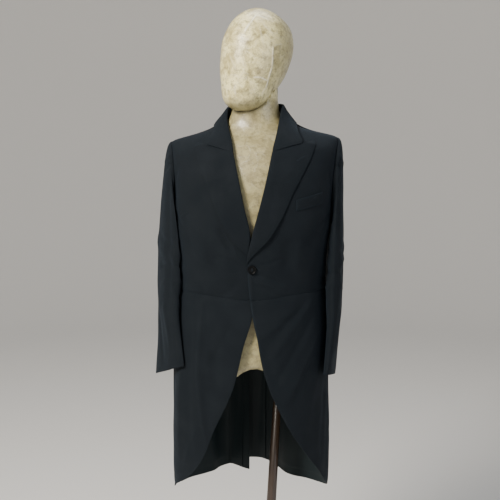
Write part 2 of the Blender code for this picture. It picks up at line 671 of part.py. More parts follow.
def clear_of_coat(point, clearance, softness):
    # Moves a sleeve's point out until it clears the coat's body, with a soft start.
    z = point.z - SHOULDER_TILT * point.x * soft_step(1.10, 1.38, point.z)
    middle = LEAN * max(0.0, z - LEAN_FROM)
    across = point.x - middle
    face = "front" if point.y < 0 else "back"
    u = across / SHAPE["half_width"](z)
    v = -point.y / SHAPE[face](z)
    angle = math.degrees(math.atan2(u, v))
    swell = 1.0 + SHAPE[face + "_corner"](z) * math.sin(2.0 * math.radians(angle)) ** 2
    reach = math.hypot(across, point.y)
    surface = reach * swell / math.hypot(u, v) + fold_height(angle, z)
    away = reach - surface
    wanted = clearance + softness * math.log1p(math.exp(min(50.0, (away - clearance) / softness)))
    scale = (surface + wanted) / reach
    return Vector((middle + across * scale, point.y * scale, point.z))


class Sleeve:
    # A sleeve's outer surface: turn goes round it from the front, 0, by the outside, 90, to the back, 180.

    def __init__(self, side):
        self.side = side
        rows = list(reversed(LEFT_SLEEVE if side > 0 else RIGHT_SLEEVE))
        self.cuff_z = rows[0].z
        self.shape = {name: column(rows, "z", name) for name in SleeveRow._fields[1:]}

    def ring(self, turn, z):
        sine, cosine = math.sin(math.radians(turn)), math.cos(math.radians(turn))
        twist = math.radians(self.shape["twist"](z))
        outward = self.shape["half_width"](z) * sine
        back = -self.shape["half_depth"](z) * cosine
        x = self.shape["out"](z) + outward * math.cos(twist) + back * math.sin(twist)
        y = self.shape["y"](z) + back * math.cos(twist) - outward * math.sin(twist)
        down = (SLEEVE_CAP_END - z) / (SLEEVE_CAP_END - self.cuff_z)
        return Vector((self.side * x, y, z + CUFF_SLANT[self.side] * cosine * soft_step(0.3, 1.0, down)))

    def plain(self, turn, share):
        if share >= SLEEVE_CAP_SHARE:
            down = (share - SLEEVE_CAP_SHARE) / (1.0 - SLEEVE_CAP_SHARE)
            return self.ring(turn, SLEEVE_CAP_END + (self.cuff_z - SLEEVE_CAP_END) * down)
        angle, z = armhole(turn + 90.0)
        start, normal = coat_point(self.side, angle, z, SEAM_GAP + 0.00005)
        end = self.ring(turn, SLEEVE_CAP_END)
        drop = start.z - end.z
        high = 0.5 - 0.5 * math.cos(math.radians(turn + 90.0))
        outward = (Vector((self.side * 0.9, 0.0, 0.10 * high)) + normal * 0.5).normalized()
        leave = start + outward * (0.008 + 0.013 * high)
        arrive = end + Vector((-self.side * 0.008 * high, 0.0, 0.58 * drop))
        t = share / SLEEVE_CAP_SHARE
        near = start * (1 - t) ** 3 + leave * 3 * t * (1 - t) ** 2
        return near + arrive * 3 * t * t * (1 - t) + end * t ** 3

    def point(self, turn, share):
        begun = soft_step(0.0, 0.12, share)
        gap = SLEEVE_CLEARANCE if self.side < 0 else SLEEVE_CLEARANCE + 0.002 * soft_step(0.35, 0.5, share)
        clearance = SEAM_GAP + (gap - SEAM_GAP) * begun
        return clear_of_coat(self.plain(turn, share), clearance, 0.0002 + 0.0030 * begun)

    def normal(self, turn, share):
        across = self.point(turn + 2.0, share) - self.point(turn - 2.0, share)
        along = self.point(turn, min(1.0, share + 0.01)) - self.point(turn, max(0.0, share - 0.01))
        return (self.side * along.cross(across)).normalized()


def add_sleeve_part(name, sleeve, arm_turns):
    # Its grid lines start from the panels' own places round the armhole.
    turns = [turn - 90.0 for turn in arm_turns]
    frames = []
    for share in SLEEVE_ROWS:
        row = []
        for i in range(len(turns)):
            arc = (sleeve.point(turns[i] + 2.0, share) - sleeve.point(turns[i] - 2.0, share)).length / 4.0
            row.append((sleeve.point(trimmed(turns, i, arc), share), sleeve.normal(turns[i], share)))
        frames.append(row)
    add_wall(name, frames, CLOTH, WOOL, flipped=sleeve.side > 0)


def add_sleeve(side, tag):
    # Top sleeve from the forearm seam over the shoulder to the hindarm seam, and the under sleeve back again.
    sleeve = Sleeve(side)
    rising = [turn for turn in ARM_FRONT if turn >= FOREARM_SEAM_TURN]
    falling = [turn + 360.0 for turn in reversed(ARM_BACK) if -180.0 < turn <= HINDARM_SEAM_TURN]
    add_sleeve_part(f"top_sleeve_{tag}", sleeve, rising + falling)
    behind = [turn + 360.0 for turn in reversed(ARM_BACK) if turn >= HINDARM_SEAM_TURN]
    below = [turn + 360.0 for turn in reversed(ARM_UNDER[:-1])]
    ahead = [turn + 360.0 for turn in ARM_FRONT[1:] if turn <= FOREARM_SEAM_TURN]
    add_sleeve_part(f"under_sleeve_{tag}", sleeve, behind + below + ahead)


def shares_of(turns):
    return [(turn - turns[0]) / (turns[-1] - turns[0]) for turn in turns]


def stretch(shares, start, end):
    return [start + (end - start) * share for share in shares]


def arm_line(turns):
    return lambda share: armhole(turns[0] + (turns[-1] - turns[0]) * share)


def line_between(start, end, height):
    # A line round the body from one angle to another at a height that varies with the angle.
    return lambda share: (start + (end - start) * share, height(start + (end - start) * share))


def shoulder_line(side, neck_point):
    tip = armhole(180.0)
    return route([neck_point, (92.2, 1.430), (92.8, 1.415), tip], side)


def forepart_rows():
    below = even(FOREPART_ROWS_BELOW, 0.0, UNDERARM_SHARE)
    return below + stretch(shares_of(ARM_FRONT), UNDERARM_SHARE, 1.0)[1:]


def add_forepart(side, tag, lines):
    # Between waist, front line, shoulder seam, and side seam with the front of the armhole.
    waist = line_between(lines.forepart(0.0)[0], SIDE_SEAM_ANGLE, waist_z)
    seam = route([waist(1.0), armhole(ARM_FRONT[0])], side)
    outside = joined(seam, arm_line(ARM_FRONT), UNDERARM_SHARE)
    shoulder = shoulder_line(side, lines.forepart(1.0))
    place = patch(waist, shoulder, lines.forepart, outside)
    add_panel(f"forepart_{tag}", side, panel_frames(side, place, FOREPART_COLUMNS, forepart_rows()))


def add_side_body(side, tag):
    # Between waist, side seam, underarm and back seam.
    waist = line_between(SIDE_SEAM_ANGLE, BACK_SEAM[0].angle, waist_z)
    under = arm_line(ARM_UNDER)
    side_seam = route([waist(0.0), under(0.0)], side)
    back_seam = route(levels(BACK_SEAM) + [under(1.0)], side)
    place = patch(waist, under, side_seam, back_seam)
    add_panel(f"sidebody_{tag}", side, panel_frames(side, place, shares_of(ARM_UNDER), even(7)))


def add_back(side, tag, lines, hem):
    # One piece from neck to hem: pleat, back seam and armhole outside, centre back and vent inside.
    past = VENT_OVERLAP if side > 0 else 0.0
    seam = route(levels(BACK_SEAM) + [armhole(ARM_BACK[0])], side)
    pleat = route([(PLEAT[0].angle, hem(PLEAT[0].angle))] + levels(PLEAT[1:]), side)
    upper = joined(seam, arm_line(ARM_BACK), (BACK_ARM_SHARE - BACK_WAIST_SHARE) / (1.0 - BACK_WAIST_SHARE))
    outside = joined(pleat, upper, BACK_WAIST_SHARE)
    shoulder = shoulder_line(side, levels(NECK_SEAM_BACK)[0])
    top = joined(lambda share: shoulder(1.0 - share), lines.neck_back, BACK_COLUMNS[BACK_NECK_COLUMN])

    def centre(share):
        z = hem(180.0) + (NECK_SEAM_BACK[-1].z - hem(180.0)) * share
        return 180.0 + past * soft_step(VENT_TOP, VENT_TOP - 0.03, z), z

    rows = stretch(SKIRT_ROWS, 0.0, BACK_WAIST_SHARE)
    rows += even(7, BACK_WAIST_SHARE, BACK_ARM_SHARE)[1:]
    rows += stretch(shares_of(ARM_BACK), BACK_ARM_SHARE, 1.0)[1:]

    def place(s, t):
        # Straight across from edge to edge, and above the underarm drawn more and more to shoulder and neck.
        angle, z = between(outside(t), centre(t), s)
        drawn = max(0.0, (t - BACK_ARM_SHARE) / (1.0 - BACK_ARM_SHARE)) ** 2
        straight = between(top(0.0), top(1.0), s)
        border = top(s)
        low = (hem(angle) - z) * max(0.0, 1.0 - t / BACK_WAIST_SHARE) ** 4
        return angle + (border[0] - straight[0]) * drawn, z + low + (border[1] - straight[1]) * drawn

    frames = panel_frames(side, place, BACK_COLUMNS, rows)
    add_panel(f"back_{tag}", side, frames)
    lined_rows = frames[1:len(SKIRT_ROWS)]
    add_lining(f"lining_back_{tag}", side, [row[2:-2] for row in lined_rows])


def add_skirt(side, tag, lines, hem):
    # Sewn on at the waist, cut away in front, with its rear edge tucked under the back as a pleat.
    pleat = Curve([row.z for row in PLEAT], [row.angle for row in PLEAT])

    def tuck(angle, z):
        return -PLEAT_TUCK * soft_step(pleat(z) - PLEAT_START, pleat(z) - 1.5, angle)

    low = PLEAT[0].angle - PLEAT_START
    high = PLEAT[-1].angle - PLEAT_START
    middle = pleat(0.8) - PLEAT_START
    side_line = route([(low, hem(low)), (middle, 0.8), (high, waist_z(high))], side)
    bottom = line_between(lines.skirt(0.0)[0], low, hem)
    top = line_between(lines.skirt(1.0)[0], high, waist_z)
    flat = patch(bottom, top, lines.skirt, side_line)

    def place(s, t):
        if s <= SKIRT_FLAT_SHARE:
            return flat(s / SKIRT_FLAT_SHARE, t)
        angle, z = flat(1.0, t)
        further = (PLEAT_START + PLEAT_REACH) * (s - SKIRT_FLAT_SHARE) / (1.0 - SKIRT_FLAT_SHARE)
        return angle + further, z + (hem(low + further) - hem(low)) * (1.0 - t)

    frames = panel_frames(side, place, SKIRT_COLUMNS, SKIRT_ROWS, tuck)
    add_panel(f"skirt_{tag}", side, frames)
    add_lining(f"lining_skirt_{tag}", side, [row[1:] for row in frames[1:]])


def spun(profile, steps):
    # A turned solid: radius and height from its foot up, with both ends on the axis.
    bm = bmesh.new()
    verts = [bm.verts.new((radius, 0.0, height)) for radius, height in profile]
    edges = [bm.edges.new(pair) for pair in zip(verts, verts[1:])]
    bmesh.ops.spin(bm, geom=verts + edges, cent=(0, 0, 0), axis=(0, 0, 1), angle=2 * math.pi, steps=steps,
                   use_merge=True)
    bmesh.ops.remove_doubles(bm, verts=bm.verts, dist=1e-6)
    bmesh.ops.recalc_face_normals(bm, faces=bm.faces)
    return bm


def add_button(name, point, normal):
    rim = BUTTON_RADIUS
    profile = [(0.0, 0.0), (rim * 0.80, 0.0), (rim, BUTTON_HEIGHT * 0.45), (rim * 0.93, BUTTON_HEIGHT),
               (rim * 0.74, BUTTON_HEIGHT * 0.95), (rim * 0.60, BUTTON_HEIGHT * 0.55), (0.0, BUTTON_HEIGHT * 0.55)]
    button = add_object(name, spun(profile, 16), HORN)
    button.location = point
    button.rotation_euler = normal.to_track_quat("Z", "Y").to_euler()


def add_welt(name, side):
    corners = on_front(side, WELT_CORNERS)

    def place(s, t):
        return between(between(corners[0], corners[1], s), between(corners[3], corners[2], s), t)

    frames = panel_frames(side, place, even(5), even(2), lambda angle, z: SEAM_GAP + WELT_THICKNESS)
    add_wall(name, frames, WELT_THICKNESS, WOOL, flipped=side < 0)


def rings_solid(rings):
    # A solid from rings of points, foot first, left open at its foot and closed at its top.
    bm = bmesh.new()
    loops = [[bm.verts.new(point) for point in ring] for ring in rings]
    count = len(loops[0])
    for low, high in zip(loops, loops[1:]):
        for i in range(count):
            j = (i + 1) % count
            bm.faces.new((low[i], low[j], high[j], high[i]))
    bm.faces.new(loops[-1])
    return bm, loops[0]


def head_mesh(grow):
    turns = even(20, 0.0, 2.0 * math.pi)[:-1]
    facing = Vector((math.sin(HEAD_TURN), -math.cos(HEAD_TURN), 0.0))
    aside = Vector((-facing.y, facing.x, 0.0))
    rings = []
    for row in HEAD:
        centre = Vector((row.x, row.y, row.z))
        rings.append([centre + facing * (row.half_depth + grow) * math.cos(turn)
                      + aside * (row.half_width + grow) * math.sin(turn) for turn in turns])
    for point in rings[0]:
        point.z -= grow
    for point in rings[-1]:
        point.z += grow
    bm, foot = rings_solid(rings)
    bm.faces.new(reversed(foot))
    return bm


def form_point(angle, level):
    # The form follows the coat's inside, close under the shoulders, and narrows to a round neck.
    side_angle = abs(angle)
    side = 1 if angle >= 0 else -1
    depth = FORM_DEPTH(level) + BLADE_INSET * soft_step(95.0, 118.0, side_angle) * soft_step(1.34, 1.38, level)
    point = body_point(angle, level) - coat_normal(side, side_angle, level) * depth
    neck_share = soft_step(1.428, 1.470, level)
    radians = math.radians(angle)
    neck = Vector((NECK_X + NECK_RADIUS * math.sin(radians), NECK_Y - NECK_RADIUS * math.cos(radians), level))
    point = point.lerp(neck, neck_share)
    arch = math.cos(math.pi / 2.0 * min(1.0, abs(point.x - ARCH_X) / ARCH_HALF_WIDTH))
    point.z += ARCH_RISE * arch * max(0.0, 1.0 - (level - STUB_LEVEL) / ARCH_REACH)
    return point


def cut_away(target, name, bm):
    # Cuts a seat or a bore with a hidden cutter.
    cutter = add_object(name, bm, WOOD)
    cutter.hide_render = True
    cutter.display_type = "WIRE"
    cut = target.modifiers.new(name, "BOOLEAN")
    cut.operation = "DIFFERENCE"
    cut.solver = "EXACT"
    cut.object = cutter
    return cutter


def pole_mesh(grow):
    bm = bmesh.new()
    bmesh.ops.create_cone(bm, cap_ends=True, segments=20, radius1=POLE_FOOT_RADIUS + grow,
                          radius2=POLE_TOP_RADIUS + grow, depth=POLE_LENGTH + 2.0 * grow)
    bmesh.ops.translate(bm, verts=bm.verts, vec=(0, 0, POLE_LENGTH / 2.0))
    return bm


def place_pole(obj):
    obj.location = (POLE_FOOT_X + POLE_FOOT * math.tan(POLE_LEAN), 0.0, POLE_FOOT)
    obj.rotation_euler = (0.0, POLE_LEAN, 0.0)


def add_form():
    count = 32
    rings = [[form_point(360.0 * i / count - (360.0 if i > count / 2 else 0.0), level) for i in range(count)]
             for level in FORM_LEVELS]
    bm, foot = rings_solid(rings)
    # The arched underside: strips from each side of the opening to the other.
    half = count // 2
    for i in range(half):
        near = [foot[(i + half // 2) % count], foot[(i + half // 2 + 1) % count]]
        far = [foot[(half // 2 - i - 1) % count], foot[(half // 2 - i) % count]]
        corners = list(dict.fromkeys(near + far))
        bm.faces.new(reversed(corners))
    torso = add_object("form_torso", bm, PAPER)
    cut_away(torso, "cut_head_seat", head_mesh(HEAD_GAP))
    place_pole(cut_away(torso, "cut_pole_bore", pole_mesh(POLE_GAP)))
    add_object("form_head", head_mesh(0.0), PAPER)


def add_stand():
    place_pole(add_object("stand_pole", pole_mesh(0.0), WOOD))
    rim = BASE_RADIUS
    profile = [(0.0, 0.0), (rim - 0.004, 0.0), (rim, 0.004), (rim, 0.014), (rim - 0.008, 0.022), (0.060, 0.026),
               (0.036, 0.030), (0.030, 0.060), (0.026, 0.064), (0.0, 0.064)]
    base = add_object("stand_base", spun(profile, 40), WOOD)
    base.location = (POLE_FOOT_X, 0.0, 0.0)
    place_pole(cut_away(base, "cut_base_socket", pole_mesh(POLE_GAP)))


def build():
    for obj in list(bpy.data.objects):
        bpy.data.objects.remove(obj, do_unlink=True)
    lines = {side: FrontLines(side) for side in (1, -1)}
    for side, tag, hem_rows in ((1, "l", LEFT_HEM), (-1, "r", RIGHT_HEM)):
        hem = column(hem_rows, "angle", "z")
        add_forepart(side, tag, lines[side])
        add_side_body(side, tag)
        add_back(side, tag, lines[side], hem)
        add_skirt(side, tag, lines[side], hem)
        add_lapel(f"lapel_{tag}", side, lines[side])
        add_sleeve(side, tag)
        point, normal = coat_point(side, BACK_BUTTON_ANGLE, BACK_BUTTON_Z, BACK_BUTTON_LIFT)
        add_button(f"back_button_{tag}", point, normal)
    add_collar("collar", lines)
    add_welt("breast_welt", 1)
    point, normal = coat_point(1, front_angle(1, Place(BUTTON_X, BUTTON_Z)), BUTTON_Z, BUTTON_LIFT)
    add_button("front_button", point, normal)
    add_form()
    add_stand()


build()
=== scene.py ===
# Black morning coat on a limbless dress form. The imported CAD part is the fixed frame. Each cloth panel here is a
# thin shell laid on its own panel there, with the small creases of worn wool added.
import math

import bmesh
import bpy
import numpy as np
from mathutils import Matrix, Vector
from mathutils.bvhtree import BVHTree
from mathutils.kdtree import KDTree


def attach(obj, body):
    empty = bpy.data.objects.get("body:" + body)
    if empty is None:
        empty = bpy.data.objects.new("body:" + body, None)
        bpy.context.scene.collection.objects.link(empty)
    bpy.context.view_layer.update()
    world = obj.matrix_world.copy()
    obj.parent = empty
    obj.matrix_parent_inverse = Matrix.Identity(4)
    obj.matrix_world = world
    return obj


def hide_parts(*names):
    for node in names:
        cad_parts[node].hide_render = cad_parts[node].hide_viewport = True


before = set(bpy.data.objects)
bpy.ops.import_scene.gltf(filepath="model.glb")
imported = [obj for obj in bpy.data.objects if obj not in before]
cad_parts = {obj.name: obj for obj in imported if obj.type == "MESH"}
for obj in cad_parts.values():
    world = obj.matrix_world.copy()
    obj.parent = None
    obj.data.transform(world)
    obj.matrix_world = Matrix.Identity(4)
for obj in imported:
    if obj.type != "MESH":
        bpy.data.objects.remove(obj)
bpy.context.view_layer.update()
print("frame loaded:", len(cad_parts), "CAD nodes")


def colour(hexCode):
    # sRGB hex to the linear values that Blender's sockets take
    parts = [int(hexCode[i:i + 2], 16) / 255 for i in (1, 3, 5)]
    return [c / 12.92 if c <= 0.04045 else ((c + 0.055) / 1.055) ** 2.4 for c in parts] + [1.0]


def addNode(material, kind, inputs=None, **settings):
    # Adds one shader node. An input is a value, or another node's output to link from.
    tree = material.node_tree
    node = tree.nodes.new("ShaderNode" + kind)
    for name, value in settings.items():
        setattr(node, name, value)
    for socket, value in (inputs or {}).items():
        if isinstance(value, bpy.types.NodeSocket):
            tree.links.new(value, node.inputs[socket])
        else:
            node.inputs[socket].default_value = value
    return node


def newMaterial(name, **sockets):
    # A Principled material whose constant values sit on the shader's own sockets.
    material = bpy.data.materials.new(name)
    material.use_nodes = True
    shader = material.node_tree.nodes["Principled BSDF"]
    for socket, value in sockets.items():
        shader.inputs[socket.replace("_", " ")].default_value = value
    return material, shader


def feed(material, shader, **links):
    # Links node outputs to the shader's sockets.
    for socket, output in links.items():
        material.node_tree.links.new(output, shader.inputs[socket.replace("_", " ")])


def bandScale(period):
    return 2 * math.pi / (20 * period)   # Blender's wave bands repeat every 2 pi / 20 at scale 1


# Worsted wool, woven as a fine twill and pressed: a matt, blue-black surface that lightens at grazing angles.
wool = {
    # The last colour here is a painted highlight for edges that catch the light.
    "base": "#090f14", "heather": "#0d141a", "worn": "#0f171e", "paintedHighlight": "#131b22",
    "twill": 0.0016,         # real ribs are 0.5 mm apart, drawn coarser so that they show close up
    "heatherSize": 0.0024,
    "roughness": 0.84, "specular": 0.17, "sheen": 0.060, "sheenTint": "#86a4c4",
    "relief": 0.00045,       # metres between the ribs' tops and grooves
}


def woolMaterial():
    material, shader = newMaterial(
        "worsted wool twill", IOR=1.50, Sheen_Weight=wool["sheen"], Sheen_Roughness=0.45,
        Sheen_Tint=colour(wool["sheenTint"]), Specular_IOR_Level=wool["specular"])
    uv = addNode(material, "UVMap", uv_map="cloth").outputs[0]
    heather = addNode(material, "TexNoise", {"Vector": uv, "Scale": 1 / wool["heatherSize"], "Detail": 4.0,
                                             "Roughness": 0.65})
    patches = addNode(material, "TexNoise", {"Vector": uv, "Scale": 16.0, "Detail": 5.0, "Roughness": 0.6})
    worn = addNode(material, "MapRange", {0: patches.outputs[0], 1: 0.50, 2: 0.75, 3: 0.0, 4: 0.20})
    flecks = addNode(material, "MapRange", {0: heather.outputs[0], 1: 0.35, 2: 0.70, 3: 0.0, 4: 1.0})
    yarn = addNode(material, "Mix", {0: flecks.outputs[0], 6: colour(wool["base"]), 7: colour(wool["heather"])},
                   data_type="RGBA")
    cloth = addNode(material, "Mix", {0: worn.outputs[0], 6: yarn.outputs[2], 7: colour(wool["worn"])},
                    data_type="RGBA")
    # Painted highlight: the edges marked on the mesh take the paler colour.
    paintedHighlight = addNode(material, "Attribute", attribute_name="paintedHighlight")
    cloth = addNode(material, "Mix", {0: paintedHighlight.outputs["Fac"], 6: cloth.outputs[2], 7: colour(wool["paintedHighlight"])},
                    data_type="RGBA")
    ribs = addNode(material, "TexWave", {"Vector": uv, "Scale": bandScale(wool["twill"]), "Distortion": 0.6,
                                         "Detail": 1.0, "Detail Scale": 4.0}, bands_direction="DIAGONAL")
    threads = addNode(material, "TexWave", {"Vector": uv, "Scale": bandScale(wool["twill"] * 0.5)},
                      bands_direction="Y")
    height = addNode(material, "Mix", {0: 0.30, 2: ribs.outputs[1], 3: threads.outputs[1]})
    fuzz = addNode(material, "Mix", {0: 0.35, 2: height.outputs[0], 3: heather.outputs[0]})
    bump = addNode(material, "Bump", {"Height": fuzz.outputs[0], "Strength": 1.0, "Distance": wool["relief"]})
    rough = addNode(material, "MapRange", {0: patches.outputs[0], 1: 0.3, 2: 0.7, 3: wool["roughness"] + 0.06,
                                           4: wool["roughness"] - 0.08})
    feed(material, shader, Base_Color=cloth.outputs[2], Roughness=rough.outputs[0], Normal=bump.outputs[0])
    return material


# Satin lining: filament threads lie flat, so it is smoother than the wool and shows long soft glints.
satin = {
    "base": "#121a1d", "light": "#172124", "roughness": 0.50, "specular": 0.15,
    "thread": 0.0012,        # real filaments are 0.1 mm apart, drawn coarser so that they show close up
}


def satinMaterial():
    material, shader = newMaterial("black satin lining", IOR=1.46, Specular_IOR_Level=satin["specular"])
    uv = addNode(material, "UVMap", uv_map="cloth").outputs[0]
    stretched = addNode(material, "Mapping", {"Vector": uv, "Scale": (1.0, 0.08, 1.0)})
    streaks = addNode(material, "TexNoise", {"Vector": stretched.outputs[0], "Scale": 220.0, "Detail": 3.0})
    tint = addNode(material, "Mix", {0: streaks.outputs[0], 6: colour(satin["base"]),
                                     7: colour(satin["light"])}, data_type="RGBA")
    rough = addNode(material, "MapRange", {0: streaks.outputs[0], 3: satin["roughness"] - 0.06,
                                           4: satin["roughness"] + 0.08})
    threads = addNode(material, "TexWave", {"Vector": uv, "Scale": bandScale(satin["thread"])},
                      bands_direction="X")
    bump = addNode(material, "Bump", {"Height": threads.outputs[1], "Strength": 0.25, "Distance": 0.00005})
    feed(material, shader, Base_Color=tint.outputs[2], Roughness=rough.outputs[0], Normal=bump.outputs[0])
    return material


# Papier mache: torn scraps of paper pasted over each other, yellowed under a clear varnish. The eye sees a
# greenish cream, blotched and specked at every scale, with a few raised edges and a soft gloss down the lit side.
paper = {
    "light": "#f0e5a8", "mid": "#b9ac76", "stain": "#766c42", "dust": "#665d3c",
    "edge": "#fffbe4",       # painted highlight on the raised ridges, and paler scrap edges
    "paintedSideShade": "#857b52", "sideShadeFrom": 0.030, "sideShadeTo": 0.085,       # painted shade, darker towards the side away from the light
    "neck": "#6d6548", "chinShadeFrom": 1.502, "chinShadeTo": 1.484,       # painted shade under the chin, below this height
    "blotch": 0.040, "scrap": 0.013, "fibre": 0.0024,            # sizes of the marks in metres
    "roughness": 0.46, "varnish": 0.80, "varnishRoughness": 0.24,
}


def paperMaterial():
    material, shader = newMaterial("varnished papier mache", IOR=1.50, Coat_Weight=paper["varnish"],
                                   Coat_Roughness=paper["varnishRoughness"], Coat_IOR=1.50)
    place = addNode(material, "TexCoord").outputs["Object"]
    blotch = addNode(material, "TexNoise", {"Vector": place, "Scale": 1 / paper["blotch"], "Detail": 7.0,
                                            "Roughness": 0.68, "Distortion": 0.6})
    mottle = addNode(material, "TexNoise", {"Vector": place, "Scale": 1 / paper["scrap"], "Detail": 6.0,
                                            "Roughness": 0.72})
    fibre = addNode(material, "TexNoise", {"Vector": place, "Scale": 1 / paper["fibre"], "Detail": 3.0,
                                           "Roughness": 0.7})
    bent = addNode(material, "Mix", {0: 0.018, 4: place, 5: mottle.outputs[1]}, data_type="VECTOR")
    scraps = addNode(material, "TexVoronoi", {"Vector": bent.outputs[1], "Scale": 0.45 / paper["scrap"]},
                     feature="DISTANCE_TO_EDGE")
    light = addNode(material, "MapRange", {0: blotch.outputs[0], 1: 0.38, 2: 0.56, 3: 0.0, 4: 1.0})
    tone = addNode(material, "Mix", {0: light.outputs[0], 6: colour(paper["mid"]), 7: colour(paper["light"])},
                   data_type="RGBA")
    soiled = addNode(material, "MapRange", {0: mottle.outputs[0], 1: 0.47, 2: 0.64, 3: 0.0, 4: 0.75})
    stained = addNode(material, "Mix", {0: soiled.outputs[0], 6: tone.outputs[2], 7: colour(paper["stain"])},
                      data_type="RGBA")
    specks = addNode(material, "MapRange", {0: fibre.outputs[0], 1: 0.56, 2: 0.68, 3: 0.0, 4: 0.50})
    dusty = addNode(material, "Mix", {0: specks.outputs[0], 6: stained.outputs[2], 7: colour(paper["dust"])},
                    data_type="RGBA")
    rim = addNode(material, "MapRange", {0: scraps.outputs[0], 1: 0.0, 2: 0.035, 3: 0.30, 4: 0.0})
    patchy = addNode(material, "Math", {0: rim.outputs[0], 1: light.outputs[0]}, operation="MULTIPLY")
    # Painted highlight: the raised ridges and the scrap edges mix towards a near-white.
    ridge = addNode(material, "Attribute", attribute_name="ridge")
    broken = addNode(material, "MapRange", {0: fibre.outputs[0], 1: 0.35, 2: 0.60, 3: 0.35, 4: 1.0})
    paintedHighlight = addNode(material, "Math", {0: ridge.outputs["Fac"], 1: broken.outputs[0]}, operation="MULTIPLY")
    raised = addNode(material, "Math", {0: patchy.outputs[0], 1: paintedHighlight.outputs[0]}, operation="MAXIMUM")
    lined = addNode(material, "Mix", {0: raised.outputs[0], 6: dusty.outputs[2], 7: colour(paper["edge"])},
                    data_type="RGBA")
    split = addNode(material, "SeparateXYZ", {0: place})
    # Painted shade: darker under the chin, below a height.
    paintedChinShade = addNode(material, "MapRange", {0: split.outputs[2], 1: paper["chinShadeTo"], 2: paper["chinShadeFrom"],
                                             3: 0.70, 4: 0.0})
    # Painted shade: darker towards the side away from the light.
    shaded = addNode(material, "MapRange", {0: split.outputs[0], 1: paper["sideShadeFrom"], 2: paper["sideShadeTo"],
                                            3: 0.0, 4: 0.55})
    paintedSideShade = addNode(material, "Mix", {0: shaded.outputs[0], 6: lined.outputs[2], 7: colour(paper["paintedSideShade"])},
                   data_type="RGBA")
    withChinShade = addNode(material, "Mix", {0: paintedChinShade.outputs[0], 6: paintedSideShade.outputs[2], 7: colour(paper["neck"])},
                      data_type="RGBA")
    lip = addNode(material, "Math", {0: patchy.outputs[0], 1: mottle.outputs[0]}, operation="ADD")
    coarse = addNode(material, "Bump", {"Height": lip.outputs[0], "Strength": 0.50, "Distance": 0.0012})
    fine = addNode(material, "Bump", {"Height": fibre.outputs[0], "Strength": 0.30, "Distance": 0.0003,
                                      "Normal": coarse.outputs[0]})
    rough = addNode(material, "MapRange", {0: mottle.outputs[0], 1: 0.3, 2: 0.7, 3: paper["roughness"] - 0.08,
                                           4: paper["roughness"] + 0.14})
    feed(material, shader, Base_Color=withChinShade.outputs[2], Roughness=rough.outputs[0], Normal=fine.outputs[0],
         Coat_Normal=coarse.outputs[0])
    return material


# Buffalo horn buttons: polished, nearly black, with faint brown streaks.
horn = {"base": "#050607", "streak": "#0c0d0f", "roughness": 0.36, "specular": 0.11}


def hornMaterial():
    material, shader = newMaterial("polished horn", IOR=1.54, Specular_IOR_Level=horn["specular"])
    place = addNode(material, "TexCoord").outputs["Object"]
    drawn = addNode(material, "Mapping", {"Vector": place, "Scale": (1.0, 1.0, 4.0)})
    grain = addNode(material, "TexNoise", {"Vector": drawn.outputs[0], "Scale": 160.0, "Detail": 4.0})
    streaks = addNode(material, "MapRange", {0: grain.outputs[0], 1: 0.50, 2: 0.75, 3: 0.0, 4: 0.6})
    tone = addNode(material, "Mix", {0: streaks.outputs[0], 6: colour(horn["base"]), 7: colour(horn["streak"])},
                   data_type="RGBA")
    rough = addNode(material, "MapRange", {0: grain.outputs[0], 3: horn["roughness"] - 0.05,
                                           4: horn["roughness"] + 0.10})
    feed(material, shader, Base_Color=tone.outputs[2], Roughness=rough.outputs[0])
    return material


# Turned beech, stained brown and varnished: long grain runs up the pole, with darker pores.
beech = {"light": "#3d2d20", "dark": "#211710", "grain": 0.004, "roughness": 0.42}


def beechMaterial():
    material, shader = newMaterial("stained beech", IOR=1.50, Coat_Weight=0.30, Coat_Roughness=0.25)
    place = addNode(material, "TexCoord").outputs["Object"]
    along = addNode(material, "Mapping", {"Vector": place, "Scale": (1.0, 1.0, 0.05)})
    rings = addNode(material, "TexNoise", {"Vector": along.outputs[0], "Scale": 1 / beech["grain"],
                                           "Detail": 5.0, "Roughness": 0.6, "Distortion": 0.3})
    wide = addNode(material, "TexNoise", {"Vector": along.outputs[0], "Scale": 45.0, "Detail": 2.0})
    grain = addNode(material, "Mix", {0: 0.45, 2: rings.outputs[0], 3: wide.outputs[0]})
    share = addNode(material, "MapRange", {0: grain.outputs[0], 1: 0.35, 2: 0.65, 3: 0.0, 4: 1.0})
    tone = addNode(material, "Mix", {0: share.outputs[0], 6: colour(beech["dark"]), 7: colour(beech["light"])},
                   data_type="RGBA")
    rough = addNode(material, "MapRange", {0: rings.outputs[0], 3: beech["roughness"] - 0.08,
                                           4: beech["roughness"] + 0.12})
    bump = addNode(material, "Bump", {"Height": rings.outputs[0], "Strength": 0.3, "Distance": 0.0002})
    feed(material, shader, Base_Color=tone.outputs[2], Roughness=rough.outputs[0], Normal=bump.outputs[0])
    return material


# Silk buttonhole twist and button thread: a fine black cord, worn matt, so its stitches read a little paler than
# the wool round them.
twist = {"dark": "#11161b", "light": "#222a32", "ply": 0.0006, "roughness": 0.62, "specular": 0.14}


def threadMaterial():
    material, shader = newMaterial("silk buttonhole twist", IOR=1.52, Specular_IOR_Level=twist["specular"])
    place = addNode(material, "TexCoord").outputs["Object"]
    ply = addNode(material, "TexWave", {"Vector": place, "Scale": bandScale(twist["ply"]), "Distortion": 0.3},
                  bands_direction="DIAGONAL")
    tone = addNode(material, "Mix", {0: ply.outputs[1], 6: colour(twist["dark"]), 7: colour(twist["light"])},
                   data_type="RGBA")
    rough = addNode(material, "MapRange", {0: ply.outputs[1], 3: twist["roughness"],
                                           4: twist["roughness"] + 0.16})
    feed(material, shader, Base_Color=tone.outputs[2], Roughness=rough.outputs[0])
    return material


